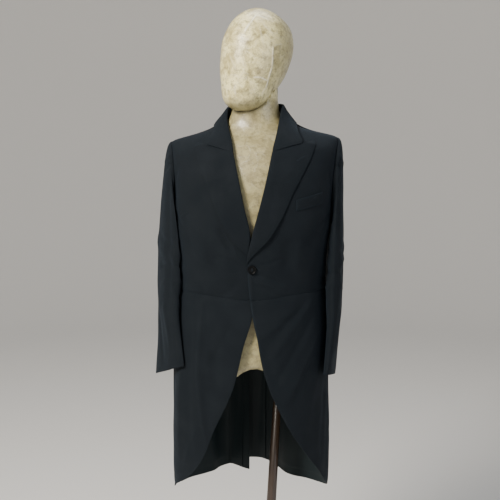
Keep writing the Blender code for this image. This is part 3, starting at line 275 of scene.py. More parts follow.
woolCloth = woolMaterial()
satinCloth = satinMaterial()
paperShell = paperMaterial()
hornDisc = hornMaterial()
beechWood = beechMaterial()
silkThread = threadMaterial()
print("materials made")

# The figure's measures, which give a place on a panel its angle round the body and its way out of it
figure = {
    "lean": 0.030, "leanFrom": 1.0,      # the wearer's left, in metres for each metre above this height
    "girth": 0.175,                      # mean radius, which turns an angle into a length of cloth
    "anglesFlat": 1.4, "facingFlat": 1.9,      # how much wider than deep the body is taken to be
}


def mergedCopy(node):
    # A copy of a CAD node's loose triangles, merged and paired into quads.
    bm = bmesh.new()
    bm.from_mesh(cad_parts[node].data)
    bmesh.ops.remove_doubles(bm, verts=bm.verts, dist=1e-5)
    bmesh.ops.join_triangles(bm, faces=bm.faces, angle_face_threshold=math.radians(40),
                             angle_shape_threshold=math.radians(180))
    return bm


def bodyMiddle(z):
    # How far the body's middle stands to the wearer's left at a height.
    return figure["lean"] * np.maximum(0.0, z - figure["leanFrom"])


def outwards(at):
    # The level way out of the body at each place.
    way = np.stack([at[:, 0] - bodyMiddle(at[:, 2]), figure["facingFlat"] * at[:, 1], np.zeros(len(at))], axis=1)
    return way / np.linalg.norm(way, axis=1)[:, None]


def keepOuterSide(bm, isSleeve):
    # The closed wall falls apart at its sharp rims. Its outer side stays: the one that faces away from the body,
    # or on a sleeve simply the largest.
    unseen = set(bm.faces)
    sides = []
    while unseen:
        first = unseen.pop()
        side, stack = [first], [first]
        while stack:
            face = stack.pop()
            for edge in face.edges:
                if len(edge.link_faces) != 2 or edge.calc_face_angle(0.0) > math.radians(52):
                    continue
                for other in edge.link_faces:
                    if other in unseen:
                        unseen.discard(other)
                        side.append(other)
                        stack.append(other)
        sides.append(side)

    def size(side):
        areas = np.array([face.calc_area() for face in side])
        if isSleeve:
            return areas.sum()
        ways = outwards(np.array([face.calc_center_median() for face in side]))
        return (areas[:, None] * ways * np.array([face.normal for face in side])).sum()

    kept = set(max(sides, key=size))
    bmesh.ops.delete(bm, geom=[face for face in bm.faces if face not in kept], context="FACES")


def closeSeams(bm, reach):
    # Widens a panel a little at its rim, so that a sewn seam shows no light between its two panels.
    moves = {}
    for vert in bm.verts:
        if vert.is_boundary:
            inner = [e.other_vert(vert).co for e in vert.link_edges if not e.is_boundary]
            if inner:
                moves[vert] = (vert.co - sum(inner, Vector()) / len(inner)).normalized() * reach
    for vert, move in moves.items():
        vert.co += move


def newObject(name, mesh, material):
    obj = bpy.data.objects.new(name, mesh)
    bpy.context.scene.collection.objects.link(obj)
    mesh.materials.clear()
    mesh.materials.append(material)
    return obj


def subdivided(name, bm, levels, material):
    # Smooths a quad cage, and gives back an object with the finer mesh.
    cage = bpy.data.meshes.new(name + " cage")
    bm.to_mesh(cage)
    bm.free()
    obj = newObject(name + " cage", cage, material)
    subsurf = obj.modifiers.new("smooth", "SUBSURF")
    subsurf.levels = subsurf.render_levels = levels
    subsurf.boundary_smooth = "PRESERVE_CORNERS"
    bpy.context.view_layer.update()
    mesh = bpy.data.meshes.new_from_object(obj.evaluated_get(bpy.context.evaluated_depsgraph_get()))
    bpy.data.objects.remove(obj)
    bpy.data.meshes.remove(cage)
    mesh.name = name
    return newObject(name, mesh, material)


def points(mesh):
    flat = np.empty(len(mesh.vertices) * 3)
    mesh.vertices.foreach_get("co", flat)
    return flat.reshape(-1, 3)


def movePoints(mesh, at):
    mesh.vertices.foreach_set("co", at.ravel())
    mesh.update()


def normals(mesh):
    flat = np.empty(len(mesh.vertices) * 3)
    mesh.vertex_normals.foreach_get("vector", flat)
    return flat.reshape(-1, 3)


def addAttribute(mesh, name, values):
    attribute = mesh.attributes.new(name, "FLOAT", "POINT")
    attribute.data.foreach_set("value", values.astype(np.float32))


def step(start, end, values):
    # Rises smoothly from 0 at the start to 1 at the end.
    share = np.clip((values - start) / (end - start), 0.0, 1.0)
    return share * share * (3 - 2 * share)


# Each crease runs from one place to another, given as the angle round the body (0 in front, the wearer's left
# positive, 180 behind) and the height in metres. Then come its width, its height (a trough below zero) and how far
# it bows sideways, in mm.
bodyCreases = [
    # left skirt: drag lines from the waist towards the cutaway
    (47, 1.012, 10, 0.905, 9, -1.6, 6), (40, 1.000, 7, 0.935, 8, 1.5, 4), (52, 1.015, 12, 0.870, 9, 1.6, 5),
    (56, 0.985, 17, 0.815, 10, -1.7, 8), (58, 0.930, 24, 0.770, 10, 1.5, 6), (50, 0.880, 30, 0.770, 9, -1.2, 3),
    (62, 0.860, 42, 0.700, 12, 1.2, 8), (35, 0.985, 14, 0.955, 7, -1.0, 2), (70, 0.800, 60, 0.620, 12, -1.4, 4),
    (80, 0.720, 74, 0.560, 11, 1.2, 3),
    # right skirt: one long soft ridge, and the hollow inside it
    (-38, 1.010, -37, 0.840, 7, 2.4, -2), (-37, 0.860, -30, 0.680, 7, 2.4, 4),
    (-26, 0.900, -24, 0.790, 13, -2.4, 0), (-47, 0.960, -44, 0.640, 12, -1.0, 3),
    (-56, 0.900, -58, 0.600, 12, 1.0, 4), (-34, 0.720, -52, 0.600, 9, 1.1, 3),
    (-14, 0.960, -30, 0.850, 9, -0.9, 4), (-70, 0.860, -73, 0.580, 12, -1.3, 4),
    # the turned front edge, lifted a little below the button
    (-0.4, 1.098, 0.9, 1.045, 3, 0.7, 0), (0.9, 1.045, 2.4, 0.985, 3, 0.7, 0),
    # the waist's left side, full behind the sleeve
    (88, 1.078, 88, 0.955, 30, 1.9, 0),
    # the hollow under the right lapel's edge
    (-23, 1.194, -14, 1.136, 6, -2.6, 0),
    # broad hollows: right of the button, above the waist on both sides, and inside the right skirt's ridge
    (30, 1.150, 34, 1.040, 18, -1.3, 4), (14, 1.010, 34, 1.028, 10, -0.9, 2),
    (-20, 1.040, -44, 1.022, 9, -0.9, 2), (-30, 0.830, -27, 0.740, 14, -1.6, 2),
    (8, 0.930, 22, 0.800, 12, -1.0, 3),
    # round the button
    (3, 1.085, 24, 1.062, 5, -1.3, -4), (4, 1.070, 20, 1.040, 5, 1.1, -3), (5, 1.060, 26, 1.022, 6, -1.0, -3),
    (6, 1.110, 22, 1.125, 5, -0.9, 3), (-6, 1.100, -26, 1.130, 7, -1.2, 3), (-8, 1.080, -30, 1.065, 7, 0.9, 3),
    (-10, 1.060, -26, 1.030, 6, -0.9, -2), (-46, 1.064, -35, 1.040, 4, -1.5, 1),
    (-44, 1.050, -30, 1.030, 4, 0.9, 1), (38, 1.052, 56, 1.040, 4, -1.0, 1),
    # hollows beside the lapels' lower ends, and the chest
    (-25, 1.165, -27, 1.090, 16, -2.0, 0), (24, 1.170, 27, 1.090, 16, -2.4, 0),
    (36, 1.180, 34, 1.100, 12, 1.2, 2), (-38, 1.200, -35, 1.110, 12, 1.4, -3),
    (52, 1.220, 46, 1.130, 13, -1.5, 4), (-52, 1.230, -48, 1.120, 13, -1.2, -4),
    (66, 1.230, 52, 1.190, 8, -1.2, 4), (-66, 1.230, -52, 1.190, 8, -1.3, 4), (70, 1.205, 56, 1.160, 8, 1.1, 4),
    (-70, 1.205, -56, 1.160, 8, 1.1, 4), (60, 1.330, 66, 1.250, 9, -1.3, 3),
    (-62, 1.340, -66, 1.250, 9, -1.4, 3),
    # pulled in at the waist's sides
    (64, 1.075, 90, 1.060, 7, -1.3, 4), (60, 1.050, 88, 1.040, 6, 1.0, 3), (-62, 1.075, -92, 1.062, 7, -1.4, 4),
    (-60, 1.052, -88, 1.042, 6, 1.0, 3), (96, 1.095, 124, 1.070, 8, 1.2, 4),
    (-96, 1.095, -122, 1.072, 8, 1.2, 4),
    # back: between the blades, above the waist and down the tails
    (150, 1.330, 172, 1.270, 12, -1.4, 6), (-150, 1.335, -171, 1.280, 12, -1.3, 6),
    (138, 1.290, 160, 1.190, 12, 1.3, 5), (-139, 1.290, -161, 1.180, 12, 1.4, 5),
    (176, 1.110, 150, 1.090, 7, -1.2, 3), (-176, 1.105, -150, 1.082, 7, -1.3, 3),
    (178, 1.080, 154, 1.065, 6, 1.1, 3), (-177, 1.078, -152, 1.062, 6, 1.0, 3),
    (150, 0.980, 146, 0.780, 10, 1.2, 3), (-149, 0.985, -147, 0.760, 10, 1.1, 3),
    (166, 0.930, 168, 0.620, 8, -1.2, 2), (-168, 0.900, -170, 0.640, 8, -1.1, 2),
    (128, 0.940, 132, 0.600, 12, -1.4, 5), (-127, 0.950, -131, 0.620, 12, -1.5, 5),
    (104, 0.940, 102, 0.620, 12, 1.3, 4), (-102, 0.930, -104, 0.600, 12, 1.2, 4),
    (92, 0.990, 110, 0.880, 9, -1.1, 4), (-92, 0.985, -110, 0.870, 9, -1.2, 4),
]
# Small sags of the skirts' lining, given in the same way. All lean inwards, clear of the wool.
liningCreases = [
    (38, 0.640, 62, 0.575, 9, -2.4, 4), (30, 0.690, 50, 0.655, 8, -1.8, 3),
    (66, 0.660, 84, 0.560, 10, -2.2, -5), (96, 0.700, 104, 0.560, 12, -2.0, 4),
    (122, 0.740, 118, 0.570, 13, -2.2, -4), (24, 0.800, 34, 0.700, 9, -1.6, 3),
    (-40, 0.640, -62, 0.570, 10, -2.2, -4), (-70, 0.680, -82, 0.560, 11, -2.0, 5),
    (-98, 0.720, -104, 0.580, 12, -2.0, 4), (-124, 0.700, -120, 0.570, 12, -2.0, 4),
    (-30, 0.760, -40, 0.690, 9, -1.6, -3),
]
creaseDepth = {"body": 1.6, "sleeve": 2.1}                   # how strongly all creases of one kind show
unevenness = {"body": 0.00025, "sleeve": 0.0005}             # slight waves of the whole cloth, in metres
shoulder = {"from": 1.36, "to": 1.42, "left": 0.25}          # the padded shoulders keep only this share of them


def bodyAngle(at, turnFrom):
    # Angle round the body in degrees, counted from turnFrom up.
    angle = np.degrees(np.arctan2(at[:, 0] - bodyMiddle(at[:, 2]), -figure["anglesFlat"] * at[:, 1]))
    return (angle - turnFrom) % 360.0 + turnFrom


def creaseLine(across, up, length, run, bow, width):
    # Height share of one crease at places given along and across it.
    along = (across * run[0] + up * run[1]) / length ** 2
    aside = (across * run[1] - up * run[0]) / length - bow * np.sin(np.pi * np.clip(along, 0.0, 1.0))
    ends = step(-0.15, 0.25, along) * (1.0 - step(0.75, 1.15, along))
    return ends * np.exp(-(aside / width) ** 2)


def creased(at, creases):
    # How far a list of creases moves each place out of the body.
    angle = bodyAngle(at, -180.0)
    z = at[:, 2]
    total = np.zeros(len(at))
    for angle0, z0, angle1, z1, width, height, bow in creases:
        across = np.radians((angle - angle0 + 180.0) % 360.0 - 180.0) * figure["girth"]
        run = (math.radians(angle1 - angle0) * figure["girth"], z1 - z0)
        length = math.hypot(*run)
        total += height / 1000 * creaseLine(across, z - z0, length, run, bow / 1000, width / 1000)
    return total


def bodyRelief(at):
    # The body's creases together with the whole cloth's slight unevenness.
    z = at[:, 2]
    total = creased(at, bodyCreases) * creaseDepth["body"]
    turn = np.radians(bodyAngle(at, -180.0))
    waves = np.sin(turn * 7.0 + z * 31.0) * np.sin(z * 35.7 + np.cos(turn * 3.0) * 2.0)
    waves += 0.6 * np.sin(turn * 16.0 - z * 19.0 + 1.3) * np.sin(z * 47.0 + turn * 2.0)
    fade = 1.0 - step(shoulder["from"], shoulder["to"], z)
    return (total + unevenness["body"] * waves) * (shoulder["left"] + (1.0 - shoulder["left"]) * fade)


# From one place to another in y and z (metres), with width, height and bow in mm, and the side of the sleeve that
# each is on: the outer, the inner or both.
sleeveCreases = {
    "l": [
        (-0.060, 1.345, -0.030, 1.325, 6, -1.3, 2, "both"), (-0.050, 1.365, -0.015, 1.340, 6, 1.0, 2, "both"),
        (-0.070, 1.130, -0.005, 1.150, 7, -1.5, 4, "both"), (-0.075, 1.105, -0.015, 1.112, 7, 1.3, 4, "both"),
        (-0.076, 1.080, -0.012, 1.068, 7, -1.6, -4, "both"), (-0.074, 1.050, -0.020, 1.030, 7, 1.1, -3, "both"),
        (0.020, 1.330, 0.040, 1.180, 12, -1.3, 4, "out"), (0.060, 1.160, 0.010, 1.120, 10, 1.2, 4, "out"),
        (0.060, 1.060, 0.020, 0.990, 10, -1.1, 4, "out"), (-0.040, 0.990, -0.060, 0.880, 9, 1.1, 3, "out"),
        (0.000, 0.960, -0.010, 0.850, 10, -1.1, 3, "out"), (0.030, 1.300, 0.055, 1.220, 8, 1.1, 3, "in"),
        (-0.020, 1.000, -0.045, 0.880, 10, -1.2, 3, "in"), (-0.050, 1.085, -0.055, 0.965, 26, 1.5, 0, "in"),
    ],
    "r": [
        (-0.055, 1.345, -0.020, 1.325, 6, -1.2, 2, "both"), (-0.045, 1.368, -0.010, 1.345, 6, 0.9, 2, "both"),
        (-0.072, 1.150, 0.000, 1.175, 7, -1.5, 4, "both"), (-0.076, 1.122, -0.010, 1.135, 8, 1.3, 3, "both"),
        (-0.080, 1.095, -0.015, 1.090, 7, -1.7, -4, "both"), (-0.082, 1.062, -0.020, 1.040, 7, 1.2, -3, "both"),
        (-0.085, 1.030, -0.030, 0.995, 8, -1.1, -3, "both"), (0.015, 1.320, 0.045, 1.190, 12, -1.4, 4, "out"),
        (0.055, 1.170, 0.010, 1.135, 10, 1.1, 4, "out"), (0.050, 1.050, 0.000, 0.960, 10, -1.2, 4, "out"),
        (-0.040, 1.010, -0.075, 0.880, 9, 1.3, 3, "out"), (-0.010, 0.980, -0.040, 0.850, 10, -1.3, 3, "out"),
        (-0.030, 1.000, -0.060, 0.870, 10, -1.1, 3, "in"),
    ],
}
# Soft ridges and hollows down each sleeve's front: the place outwards from its middle, width and height in mm
sleeveFront = {"l": [(11, 5, 1.6), (-3, 6, -1.6)], "r": [(12, 5, 2.6), (-4, 8, -3.0)]}
sleeveMiddle = {"l": 0.2085, "r": -0.1985}                   # across the body
sleeveTube = {"depth": 0.07, "width": 0.03, "girth": 0.055}  # half its size, and its mean radius


def sleeveRelief(at, tag):
    # The sleeve's creases, the ridges down its front and the cloth's slight unevenness. All fade at its head.
    side = 1 if tag == "l" else -1
    out = step(-0.008, 0.004, (at[:, 0] - sleeveMiddle[tag]) * side)
    total = np.zeros(len(at))
    for y0, z0, y1, z1, width, height, bow, face in sleeveCreases[tag]:
        run = (y1 - y0, z1 - z0)
        length = math.hypot(*run)
        line = creaseLine(at[:, 1] - y0, at[:, 2] - z0, length, run, bow / 1000, width / 1000)
        total += height / 1000 * line * {"out": out, "in": 1.0 - out, "both": 1.0}[face]
    total *= creaseDepth["sleeve"]
    rows = np.round(at[:, 2] / 0.01).astype(int)             # the sleeve's own middle, in rows 10 mm high
    middles = {row: (at[rows == row, 0].min() + at[rows == row, 0].max()) / 2 for row in np.unique(rows)}
    across = (at[:, 0] - np.array([middles[row] for row in rows])) * side
    front = step(-0.030, -0.060, at[:, 1]) * step(1.34, 1.28, at[:, 2]) * step(0.96, 1.05, at[:, 2])
    for place, width, height in sleeveFront[tag]:
        total += height / 1000 * front * np.exp(-((across - place / 1000) / (width / 1000)) ** 2)
    waves = np.sin(at[:, 1] * 70.0 + at[:, 2] * 24.0) * np.sin(at[:, 2] * 37.0 + 1.0)
    return (total + unevenness["sleeve"] * waves) * (0.3 + 0.7 * (1.0 - step(1.34, 1.39, at[:, 2])))


def layUv(mesh, across, up):
    # The cloth's own map in metres, so that the weave has its real size on every panel.
    layer = mesh.uv_layers.new(name="cloth")
    corners = np.empty(len(mesh.loops), dtype=int)
    mesh.loops.foreach_get("vertex_index", corners)
    uv = np.stack([across[corners], up[corners]], axis=1).astype(np.float32)
    layer.uv.foreach_set("vector", uv.ravel())


def rimEdges(mesh):
    # The open edges of a shell: those with one face.
    used = np.zeros(len(mesh.loops), dtype=int)
    mesh.loops.foreach_get("edge_index", used)
    count = np.bincount(used, minlength=len(mesh.edges))
    return [edge for edge in mesh.edges if count[edge.index] == 1]


def borderDistance(mesh, at):
    # How far each place is from its panel's nearest edge.
    rim = sorted({v for edge in rimEdges(mesh) for v in edge.vertices})
    tree = KDTree(len(rim))
    for i, vertex in enumerate(rim):
        tree.insert(at[vertex], i)
    tree.balance()
    return np.array([tree.find(place)[2] for place in at])


# Below "from" each lapel narrows to a point on the front edge and lies flatter. The right one's end is hidden
# under the left.
lapelTips = {
    "leftLapel": {"side": 1, "from": 1.180, "narrow": 0.24, "flat": 0.35, "drop": 0.0035, "shift": -0.0012},
    "rightLapel": {"side": -1, "from": 1.175, "narrow": 0.30, "flat": 1.0, "drop": -0.0090, "shift": 0.0100},
}
tipWall = {"share": 0.15, "reach": 0.040}            # the iron thins the tip to this share of the wall
lapelPress = {"gap": 0.0032, "rollWidth": 0.030}     # and sets the outer part flat on the forepart


def thinnedTip(obj, at):
    # A vertex group that the Solidify modifier multiplies the wall's thickness by.
    bottom = at[:, 2].min()
    group = obj.vertex_groups.new(name="wall")
    shares = tipWall["share"] + (1.0 - tipWall["share"]) * step(bottom, bottom + tipWall["reach"], at[:, 2])
    for i, share in enumerate(shares):
        group.add([i], float(share), "REPLACE")


def taperedTip(at, tip):
    bottom = at[:, 2].min()
    end = at[at[:, 2] < bottom + 0.0015]             # its lowest row of points
    edge = end[:, 0].min() if tip["side"] > 0 else end[:, 0].max()
    under = end[:, 1].max()
    full = np.sin(np.pi / 2 * np.clip((at[:, 2] - bottom) / (tip["from"] - bottom), 0.0, 1.0))
    narrow = tip["narrow"] + (1 - tip["narrow"]) * full
    flat = tip["flat"] + (1 - tip["flat"]) * full
    near = np.clip(1.0 - np.abs(at[:, 1] - under) / 0.020, 0.0, 1.0)
    moved = at.copy()
    moved[:, 0] = edge + (at[:, 0] - edge) * narrow + tip["shift"] * (1 - full)
    moved[:, 1] = at[:, 1] + (under - at[:, 1]) * (1.0 - flat) * near
    moved[:, 2] = at[:, 2] - tip["drop"] * (1.0 - full)
    return moved


def pressedFlat(at, directions, forepart, side):
    # Sinks a lapel's outer part on to its forepart and leaves the soft roll at the fold standing.
    heights = np.arange(at[:, 2].min() + 0.03, at[:, 2].max() - 0.07, 0.01)
    edges = [(at[np.abs(at[:, 2] - z) < 0.005, 0] * side).min() for z in heights]
    fromFold = at[:, 0] * side - np.polyval(np.polyfit(heights, edges, 2), at[:, 2])
    share = step(0.0, lapelPress["rollWidth"], fromFold) * step(1.160, 1.270, at[:, 2])
    moved = at.copy()
    for i, place in enumerate(at):
        inward = Vector(-directions[i])
        found = forepart.ray_cast(Vector(place), inward, 0.020)
        if found[0] is not None and found[3] > lapelPress["gap"]:
            moved[i] += np.array(inward) * (found[3] - lapelPress["gap"]) * share[i]
    return moved


# Painted highlight, a paler wool colour where an edge catches the light, within "reach" of the edge: the free
# front edge between two heights, or a piece's whole border
edgeHighlight = {"reach": 0.0022, "from": 0.90, "to": 1.20, "welt": 0.8}
highlightedEdges = {"leftForepart": "front", "leftSkirt": "front", "breastWelt": "all round"}


def frontEdgeHighlight(mesh, at):
    tree = KDTree(len(mesh.vertices))
    for edge in rimEdges(mesh):
        start, end = at[edge.vertices[0]], at[edge.vertices[1]]
        steep = abs(end[2] - start[2]) > 0.45 * np.linalg.norm(end - start)
        if steep and abs(start[0]) < 0.05 and edgeHighlight["from"] < start[2] < edgeHighlight["to"]:
            tree.insert(start, edge.index)
    tree.balance()
    return np.exp(-(np.array([tree.find(place)[2] for place in at]) / edgeHighlight["reach"]) ** 2)


seamPress = {"depth": 0.0007, "reach": 0.0055, "reachOut": 0.00025}     # the iron leaves each seam slightly sunk
wall = {"wool": 0.0020, "satin": 0.0010, "rim": 0.16}                   # thickness, and the rim's share of it


def addWall(obj, thickness):
    # The shell's thickness, inwards, with softened rims.
    solid = obj.modifiers.new("thickness", "SOLIDIFY")
    solid.thickness = thickness
    solid.offset = -1.0
    if obj.vertex_groups:
        solid.vertex_group = "wall"
    if len(obj.data.materials) > 1:
        solid.material_offset = 1
    rim = obj.modifiers.new("soft rim", "BEVEL")
    rim.width = thickness * wall["rim"]
    rim.segments = 2
    rim.limit_method = "ANGLE"
    rim.angle_limit = math.radians(60)


# Where the angle round the body is counted from, so that no panel has the jump from 360 to 0 on it
countFrom = {"l": -90, "r": -270, "collar": 0}


def clothPiece(name, node, settings):
    # The outer side of the CAD wall, smoothed, creased, pressed at its seams and given its thickness again.
    isSleeve = "sleeve" in node
    isSatin = "lining" in node
    tag = "r" if node.endswith("_r") else "l"
    bm = mergedCopy(node)
    keepOuterSide(bm, isSleeve)
    closeSeams(bm, seamPress["reachOut"])
    obj = subdivided(name, bm, settings.get("levels", 3), satinCloth if isSatin else woolCloth)
    mesh = obj.data
    at = points(mesh)
    if name in lapelTips:
        thinnedTip(obj, at)
        at = taperedTip(at, lapelTips[name])
        movePoints(mesh, at)
    if isSleeve:
        turn = np.arctan2(at[:, 1] / sleeveTube["depth"], (at[:, 0] - sleeveMiddle[tag]) / sleeveTube["width"])
        turn = turn if tag == "l" else turn % (2 * math.pi)
        across = turn * sleeveTube["girth"]
        moved = normals(mesh) * sleeveRelief(at, tag)[:, None]
    else:
        across = np.radians(bodyAngle(at, countFrom.get(node, countFrom[tag]))) * figure["girth"]
        ways = outwards(at)
        if name in lapelTips:
            at = pressedFlat(at, ways, forepartTrees[tag], lapelTips[name]["side"])
        relief = bodyRelief(at) * settings.get("relief", 1.0)
        if "SkirtLining" in name:
            relief += creased(at, liningCreases)
        moved = ways * relief[:, None]
    layUv(mesh, across, at[:, 2])
    border = borderDistance(mesh, at)
    # Painted highlight along the front edge and round the welt, stored on the mesh for the wool material.
    if highlightedEdges.get(name) == "front":
        addAttribute(mesh, "paintedHighlight", frontEdgeHighlight(mesh, at))
    elif name in highlightedEdges:
        addAttribute(mesh, "paintedHighlight", edgeHighlight["welt"] * np.exp(-(border / edgeHighlight["reach"]) ** 2))
    press = seamPress["depth"] * np.exp(-(border / seamPress["reach"]) ** 2)
    movePoints(mesh, at + moved - normals(mesh) * press[:, None])
    mesh.shade_smooth()
    if name.endswith(("Back", "Skirt")):
        mesh.materials.append(satinCloth)     # inside, the satin goes on round the vent's turnings
    addWall(obj, settings.get("thickness", wall["satin" if isSatin else "wool"]))
    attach(obj, "root")
    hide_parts(node)
    return obj


# Each panel's cut is the width and length in metres of the rectangle that it comes from, with its own flat area.
clothPanels = {
    "leftForepart": {"node": "forepart_l", "cut": (0.30, 0.50), "area": 0.098},
    "rightForepart": {"node": "forepart_r", "cut": (0.30, 0.50), "area": 0.096},
    "leftSideBody": {"node": "sidebody_l", "cut": (0.16, 0.27), "area": 0.0285},
    "rightSideBody": {"node": "sidebody_r", "cut": (0.16, 0.27), "area": 0.0280},
    "leftBack": {"node": "back_l", "cut": (0.24, 0.98), "area": 0.112},
    "rightBack": {"node": "back_r", "cut": (0.24, 0.98), "area": 0.105},
    "leftSkirt": {"node": "skirt_l", "cut": (0.52, 0.54), "area": 0.208},
    "rightSkirt": {"node": "skirt_r", "cut": (0.52, 0.54), "area": 0.211},
    "leftTopSleeve": {"node": "top_sleeve_l", "cut": (0.24, 0.62), "area": 0.094},
    "rightTopSleeve": {"node": "top_sleeve_r", "cut": (0.24, 0.61), "area": 0.088},
    "leftUnderSleeve": {"node": "under_sleeve_l", "cut": (0.20, 0.56), "area": 0.064},
    "rightUnderSleeve": {"node": "under_sleeve_r", "cut": (0.20, 0.55), "area": 0.064},
    "leftLapel": {"node": "lapel_l", "cut": (0.13, 0.32), "area": 0.020,
                  "restsOn": ["forepart_l"], "held": "folded"},
    "rightLapel": {"node": "lapel_r", "cut": (0.13, 0.32), "area": 0.020,
                   "restsOn": ["forepart_r"], "held": "folded"},
    "topCollar": {"node": "collar", "cut": (0.56, 0.11), "area": 0.040,
                  "restsOn": ["back_l", "back_r"], "held": "folded", "relief": 0.4},
    "breastWelt": {"node": "breast_welt", "cut": (0.08, 0.03), "area": 0.0019,
                   "restsOn": ["forepart_l"], "held": "stretched", "thickness": 0.0014},
    "leftSkirtLining": {"node": "lining_skirt_l", "cut": (0.50, 0.52), "area": 0.190,
                        "restsOn": ["skirt_l"], "levels": 2},
    "rightSkirtLining": {"node": "lining_skirt_r", "cut": (0.50, 0.52), "area": 0.190,
                         "restsOn": ["skirt_r"], "levels": 2},
    "leftBackLining": {"node": "lining_back_l", "cut": (0.06, 0.52), "area": 0.020,
                       "restsOn": ["back_l"], "levels": 2},
    "rightBackLining": {"node": "lining_back_r", "cut": (0.06, 0.52), "area": 0.017,
                        "restsOn": ["back_r"], "levels": 2},
}
forepartTrees = {}
for tag in "lr":
    bm = mergedCopy("forepart_" + tag)
    forepartTrees[tag] = BVHTree.FromBMesh(bm)
    bm.free()
pieces = {name: clothPiece(name, settings["node"], settings) for name, settings in clothPanels.items()}
print("cloth panels laid:", len(pieces))


def rigidCopy(name, node, material, levels, crease=50, shape=None):
    # A smooth copy of a rigid CAD node that keeps its sharp edges.
    bm = mergedCopy(node)
    if shape:
        shape(bm)
    sharp = bm.edges.layers.float.new("crease_edge")
    for edge in bm.edges:
        if edge.calc_face_angle(0.0) > math.radians(crease):
            edge[sharp] = 1.0
    obj = subdivided(name, bm, levels, material)
    obj.data.shade_smooth()
    obj.data.set_sharp_from_angle(angle=math.radians(crease))
    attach(obj, "root")
    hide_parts(node)
    return obj


def seenBy(piece):
    # The finished surface of a piece, ready to be met by rays.
    bpy.context.view_layer.update()
    return BVHTree.FromObject(piece, bpy.context.evaluated_depsgraph_get())


# Raised edges of pasted paper on the head's front, as places across and up in metres, with width and height in mm
headRidges = [
    ((0.016, 1.694), (0.000, 1.672), 1.7, 1.5), ((0.000, 1.672), (-0.012, 1.655), 2.4, 1.6),
    ((0.054, 1.620), (0.053, 1.598), 1.3, 1.2), ((0.053, 1.598), (0.052, 1.572), 1.5, 1.5),
    ((0.052, 1.572), (0.043, 1.545), 1.4, 1.5), ((0.043, 1.545), (0.037, 1.522), 1.3, 1.0),
    ((0.008, 1.548), (0.026, 1.547), 1.3, 1.1), ((0.026, 1.547), (0.042, 1.540), 1.3, 1.2),
    ((-0.030, 1.640), (0.004, 1.632), 2.6, 0.25), ((-0.048, 1.600), (-0.032, 1.562), 2.0, 0.25),
    ((0.016, 1.694), (0.046, 1.680), 1.6, 0.5), ((0.022, 1.665), (0.032, 1.622), 1.8, 0.3),
    ((0.030, 1.672), (0.056, 1.645), 2.2, 0.35), ((-0.036, 1.530), (-0.034, 1.505), 1.8, 0.4),
    ((0.056, 1.622), (0.078, 1.626), 1.5, 0.4), ((0.036, 1.524), (0.028, 1.508), 1.6, 0.5),
]
headDents = 0.0007                                   # how uneven the pasted layers are, in metres
neckJoin = {"above": 1.508, "reach": 0.035}          # the neck's rim above this height is pasted to the head


def pastedHead():
    head = rigidCopy("paperHead", "form_head", paperShell, 4)
    at = points(head.data)
    lift, paintedHighlight = np.zeros(len(at)), np.zeros(len(at))
    for (x0, z0), (x1, z1), width, height in headRidges:
        run = (x1 - x0, z1 - z0)
        line = creaseLine(at[:, 0] - x0, at[:, 2] - z0, math.hypot(*run), run, 0.0, width / 1000)
        line = line * (at[:, 1] < -0.005)            # on the front only
        lift += height / 1000 * line
        # This ridge mask also carries the painted highlight.
        paintedHighlight = np.maximum(paintedHighlight, line * min(height, 1.0))
    dents = np.sin(at[:, 0] * 61.0 + at[:, 2] * 40.0) * np.sin(at[:, 2] * 52.0 - at[:, 1] * 47.0)
    movePoints(head.data, at + normals(head.data) * (lift + headDents * dents)[:, None])
    addAttribute(head.data, "ridge", paintedHighlight)
    return head


def drawNeckToHead(bm):
    # Leaves no step between the neck's open rim and the head.
    for vert in bm.verts:
        if vert.co.z > neckJoin["above"]:
            place, normal, _, away = headSurface.find_nearest(vert.co + Vector((0.0, 0.0, 0.010)))
            if away < neckJoin["reach"]:
                vert.co = place + normal * 0.0004


headSurface = seenBy(pastedHead())
rigidCopy("paperTorso", "form_torso", paperShell, 1, shape=drawNeckToHead)
rigidCopy("woodPole", "stand_pole", beechWood, 1)
rigidCopy("woodBase", "stand_base", beechWood, 1)
print("form and stand made")

# Places across the button as shares of its radius, the dish's depth as a share of its height
buttonShape = {
    "hollow": 0.42, "dish": 0.62, "hole": 0.085, "holePlace": 0.19, "segments": 48,
    "slope": (0.66, 1.06),                           # from the dish up to the rim, as shares of radius and dish
    "outline": [(0.76, 0.93), (0.82, 1.0), (0.92, 0.97), (0.985, 0.80), (1.0, 0.50), (0.97, 0.18), (0.88, 0.0)],
}
# A strand's radius in metres, their spacing in strands, and how far the arch of a bar is pressed down
buttonThread = {"strand": 0.00032, "apart": 1.7, "start": 0.55, "pressed": 0.35, "about": 0.80, "lift": 0.12}


def ringEdges(bm, ring):
    bm.edges.index_update()
    return sorted({edge for vert in ring for edge in vert.link_edges}, key=lambda edge: edge.index)


def roundOn(bm, radius, height, centre=(0.0, 0.0), segments=12):
    ring = bmesh.ops.create_circle(bm, cap_ends=False, radius=radius, segments=segments)["verts"]
    bmesh.ops.translate(bm, vec=(centre[0], centre[1], height), verts=ring)
    return ringEdges(bm, ring)


def finished(bm, name, material):
    # Turns a finished bmesh into a smooth object.
    mesh = bpy.data.meshes.new(name)
    bm.to_mesh(mesh)
    bm.free()
    obj = newObject(name, mesh, material)
    mesh.shade_smooth()
    return obj


